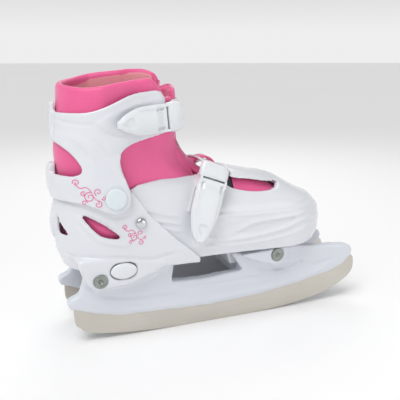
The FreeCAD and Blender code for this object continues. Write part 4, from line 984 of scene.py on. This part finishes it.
instep_path = [in_buckle(INSTEP, 3.4, z) for z in (-24, -14, -4, 5)]
instep_path += [(-9.0, -26.5, 127.8), (-8.5, -18, 129.5), (-8.1, -9, 130.0), (-8.1, 3, 129.6), (-8.8, 14, 127.4),
                (-10.6, 23.4, 122.6), (-13.2, 30.0, 115.6), (-16.1, 33.6, 107), (-19, 36.7, 99), (-22.3, 38.6, 90),
                (-25.3, 39.3, 82)]
instep_across = INSTEP.to_3x3() @ Vector((1, 0, 0))
cuff_path = [in_buckle(CUFF, 3.4, z) for z in (-20, -10, 0, 4)]
cuff_path += [(-38.5, -22.5, 166.5), (-31.6, -14, 166.5), (-29.0, -5, 166.5), (-29.0, 5, 166.5),
              (-31.6, 14, 166.5), (-38.5, 23.8, 166.5), (-46, 30.6, 166.5), (-55, 33.4, 166.5),
              (-66, 35.0, 166.5), (-76, 36.6, 166.5)]
for label, path, across, wides, body in (
        ("instep", instep_path, instep_across, ((0, 12), (0.18, 14), (0.8, 14), (0.97, 13), (1, 9)), "toe_half"),
        ("cuff", cuff_path, (0, 0, -1), ((0, 14), (0.2, 20), (0.3, 24), (0.48, 24), (0.62, 17), (0.97, 14),
                                         (1, 9)), "ankle_cuff")):
    band = ladder(label + "_ladder_strap_moulding", path, across, wides, 1.6, (0.03, 0.5))
    wear(band, gloss_trim)
    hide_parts(label + "_ladder_strap")
    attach(band, body)

# ---- printed scrolls ----
# Two sprays of thin scrolls are pad-printed in pink ink on each side, on the cuff and on the heel cup.
ink, tree, shader = principled("pad_printed_pink_ink", IOR=1.48)
where = add_node(tree, "ShaderNodeTexCoord")
thin = add_node(tree, "ShaderNodeTexNoise", {"Vector": where.outputs["Object"], "Scale": 1400.0, "Detail": 2.0})
hue = add_node(tree, "ShaderNodeMix", {0: thin.outputs["Fac"], 6: linear("#DE4C8E"), 7: linear("#EE86B2")},
               data_type="RGBA")
rough = add_node(tree, "ShaderNodeMapRange", {"Value": thin.outputs["Fac"], 3: 0.25, 4: 0.4})
tree.links.new(hue.outputs[2], shader.inputs["Base Color"])
tree.links.new(rough.outputs[0], shader.inputs["Roughness"])


def curl(x, z, size, turns, start, way):
    """A spiral stroke about a centre, from its outer end inwards."""
    return [(x + size * (1 - s) ** 0.8 * math.cos(start + way * turns * 2 * math.pi * s),
             z + size * (1 - s) ** 0.8 * math.sin(start + way * turns * 2 * math.pi * s))
            for s in np.linspace(0, 0.94, 40)]


def spray(name, skin, x0, z0, scale, side, body):
    """Print a spray of scrolls on one side of a shell."""
    stem = smooth_line([(-11, 7.5), (-7, 4.2), (-3.2, 5.2), (0.2, 2.4), (2.2, -2.4), (6.2, -6.6)], 8)
    strokes = [stem, curl(-9.6, 8.6, 2.6, 1.3, 3.6, -1), curl(-0.6, -2.6, 4.2, 1.6, 1.2, 1),
               curl(5.6, 1.4, 2.9, 1.3, 4.2, -1), curl(-5.2, -0.2, 2.0, 1.2, 0.9, 1),
               curl(5.4, -8.4, 3.0, 1.4, 1.6, -1), curl(-4.4, -7.4, 2.2, 1.2, 0.2, 1),
               curl(9.6, -3.2, 1.8, 1.1, 3.4, 1)]
    points, faces = [], []
    for stroke in strokes:
        flat = [np.array((x0 + x * scale, z0 + z * scale)) for x, z in stroke]
        joined = False
        for i, spot in enumerate(flat):
            run = flat[min(i + 1, len(flat) - 1)] - flat[max(i - 1, 0)]
            run /= np.linalg.norm(run) + 1e-9
            half = 0.34 * (1 - 0.35 * i / len(flat))
            hits = []
            for way in (-1, 1):
                x, z = spot + way * half * np.array([-run[1], run[0]])
                hits.append(skin.ray_cast(placed(x, side * 90, z), Vector((0, -side, 0)), 0.075))
            if not all(hit[0] for hit in hits):
                joined = False
                continue
            points += [hit[0] + hit[1] * 0.00012 for hit in hits]
            if joined:
                a = len(points) - 4
                face = (a, a + 1, a + 3, a + 2)
                faces.append(face if side < 0 else face[::-1])
            joined = True
    mesh = bpy.data.meshes.new(name)
    mesh.from_pydata(points, [], faces)
    print_piece = finished(name, mesh)
    wear(print_piece, ink)
    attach(print_piece, body)


collar_skin, heel_skin = skin_of(collar), skin_of(heel_cup)
for side, label in ((-1, "outer"), (1, "inner")):
    spray("cuff_scrolls_" + label, collar_skin, -103.2, 116.2, 0.9, side, "ankle_cuff")
    spray("heel_scrolls_" + label, heel_skin, -72.8, 83.6, 0.72, side, "chassis")
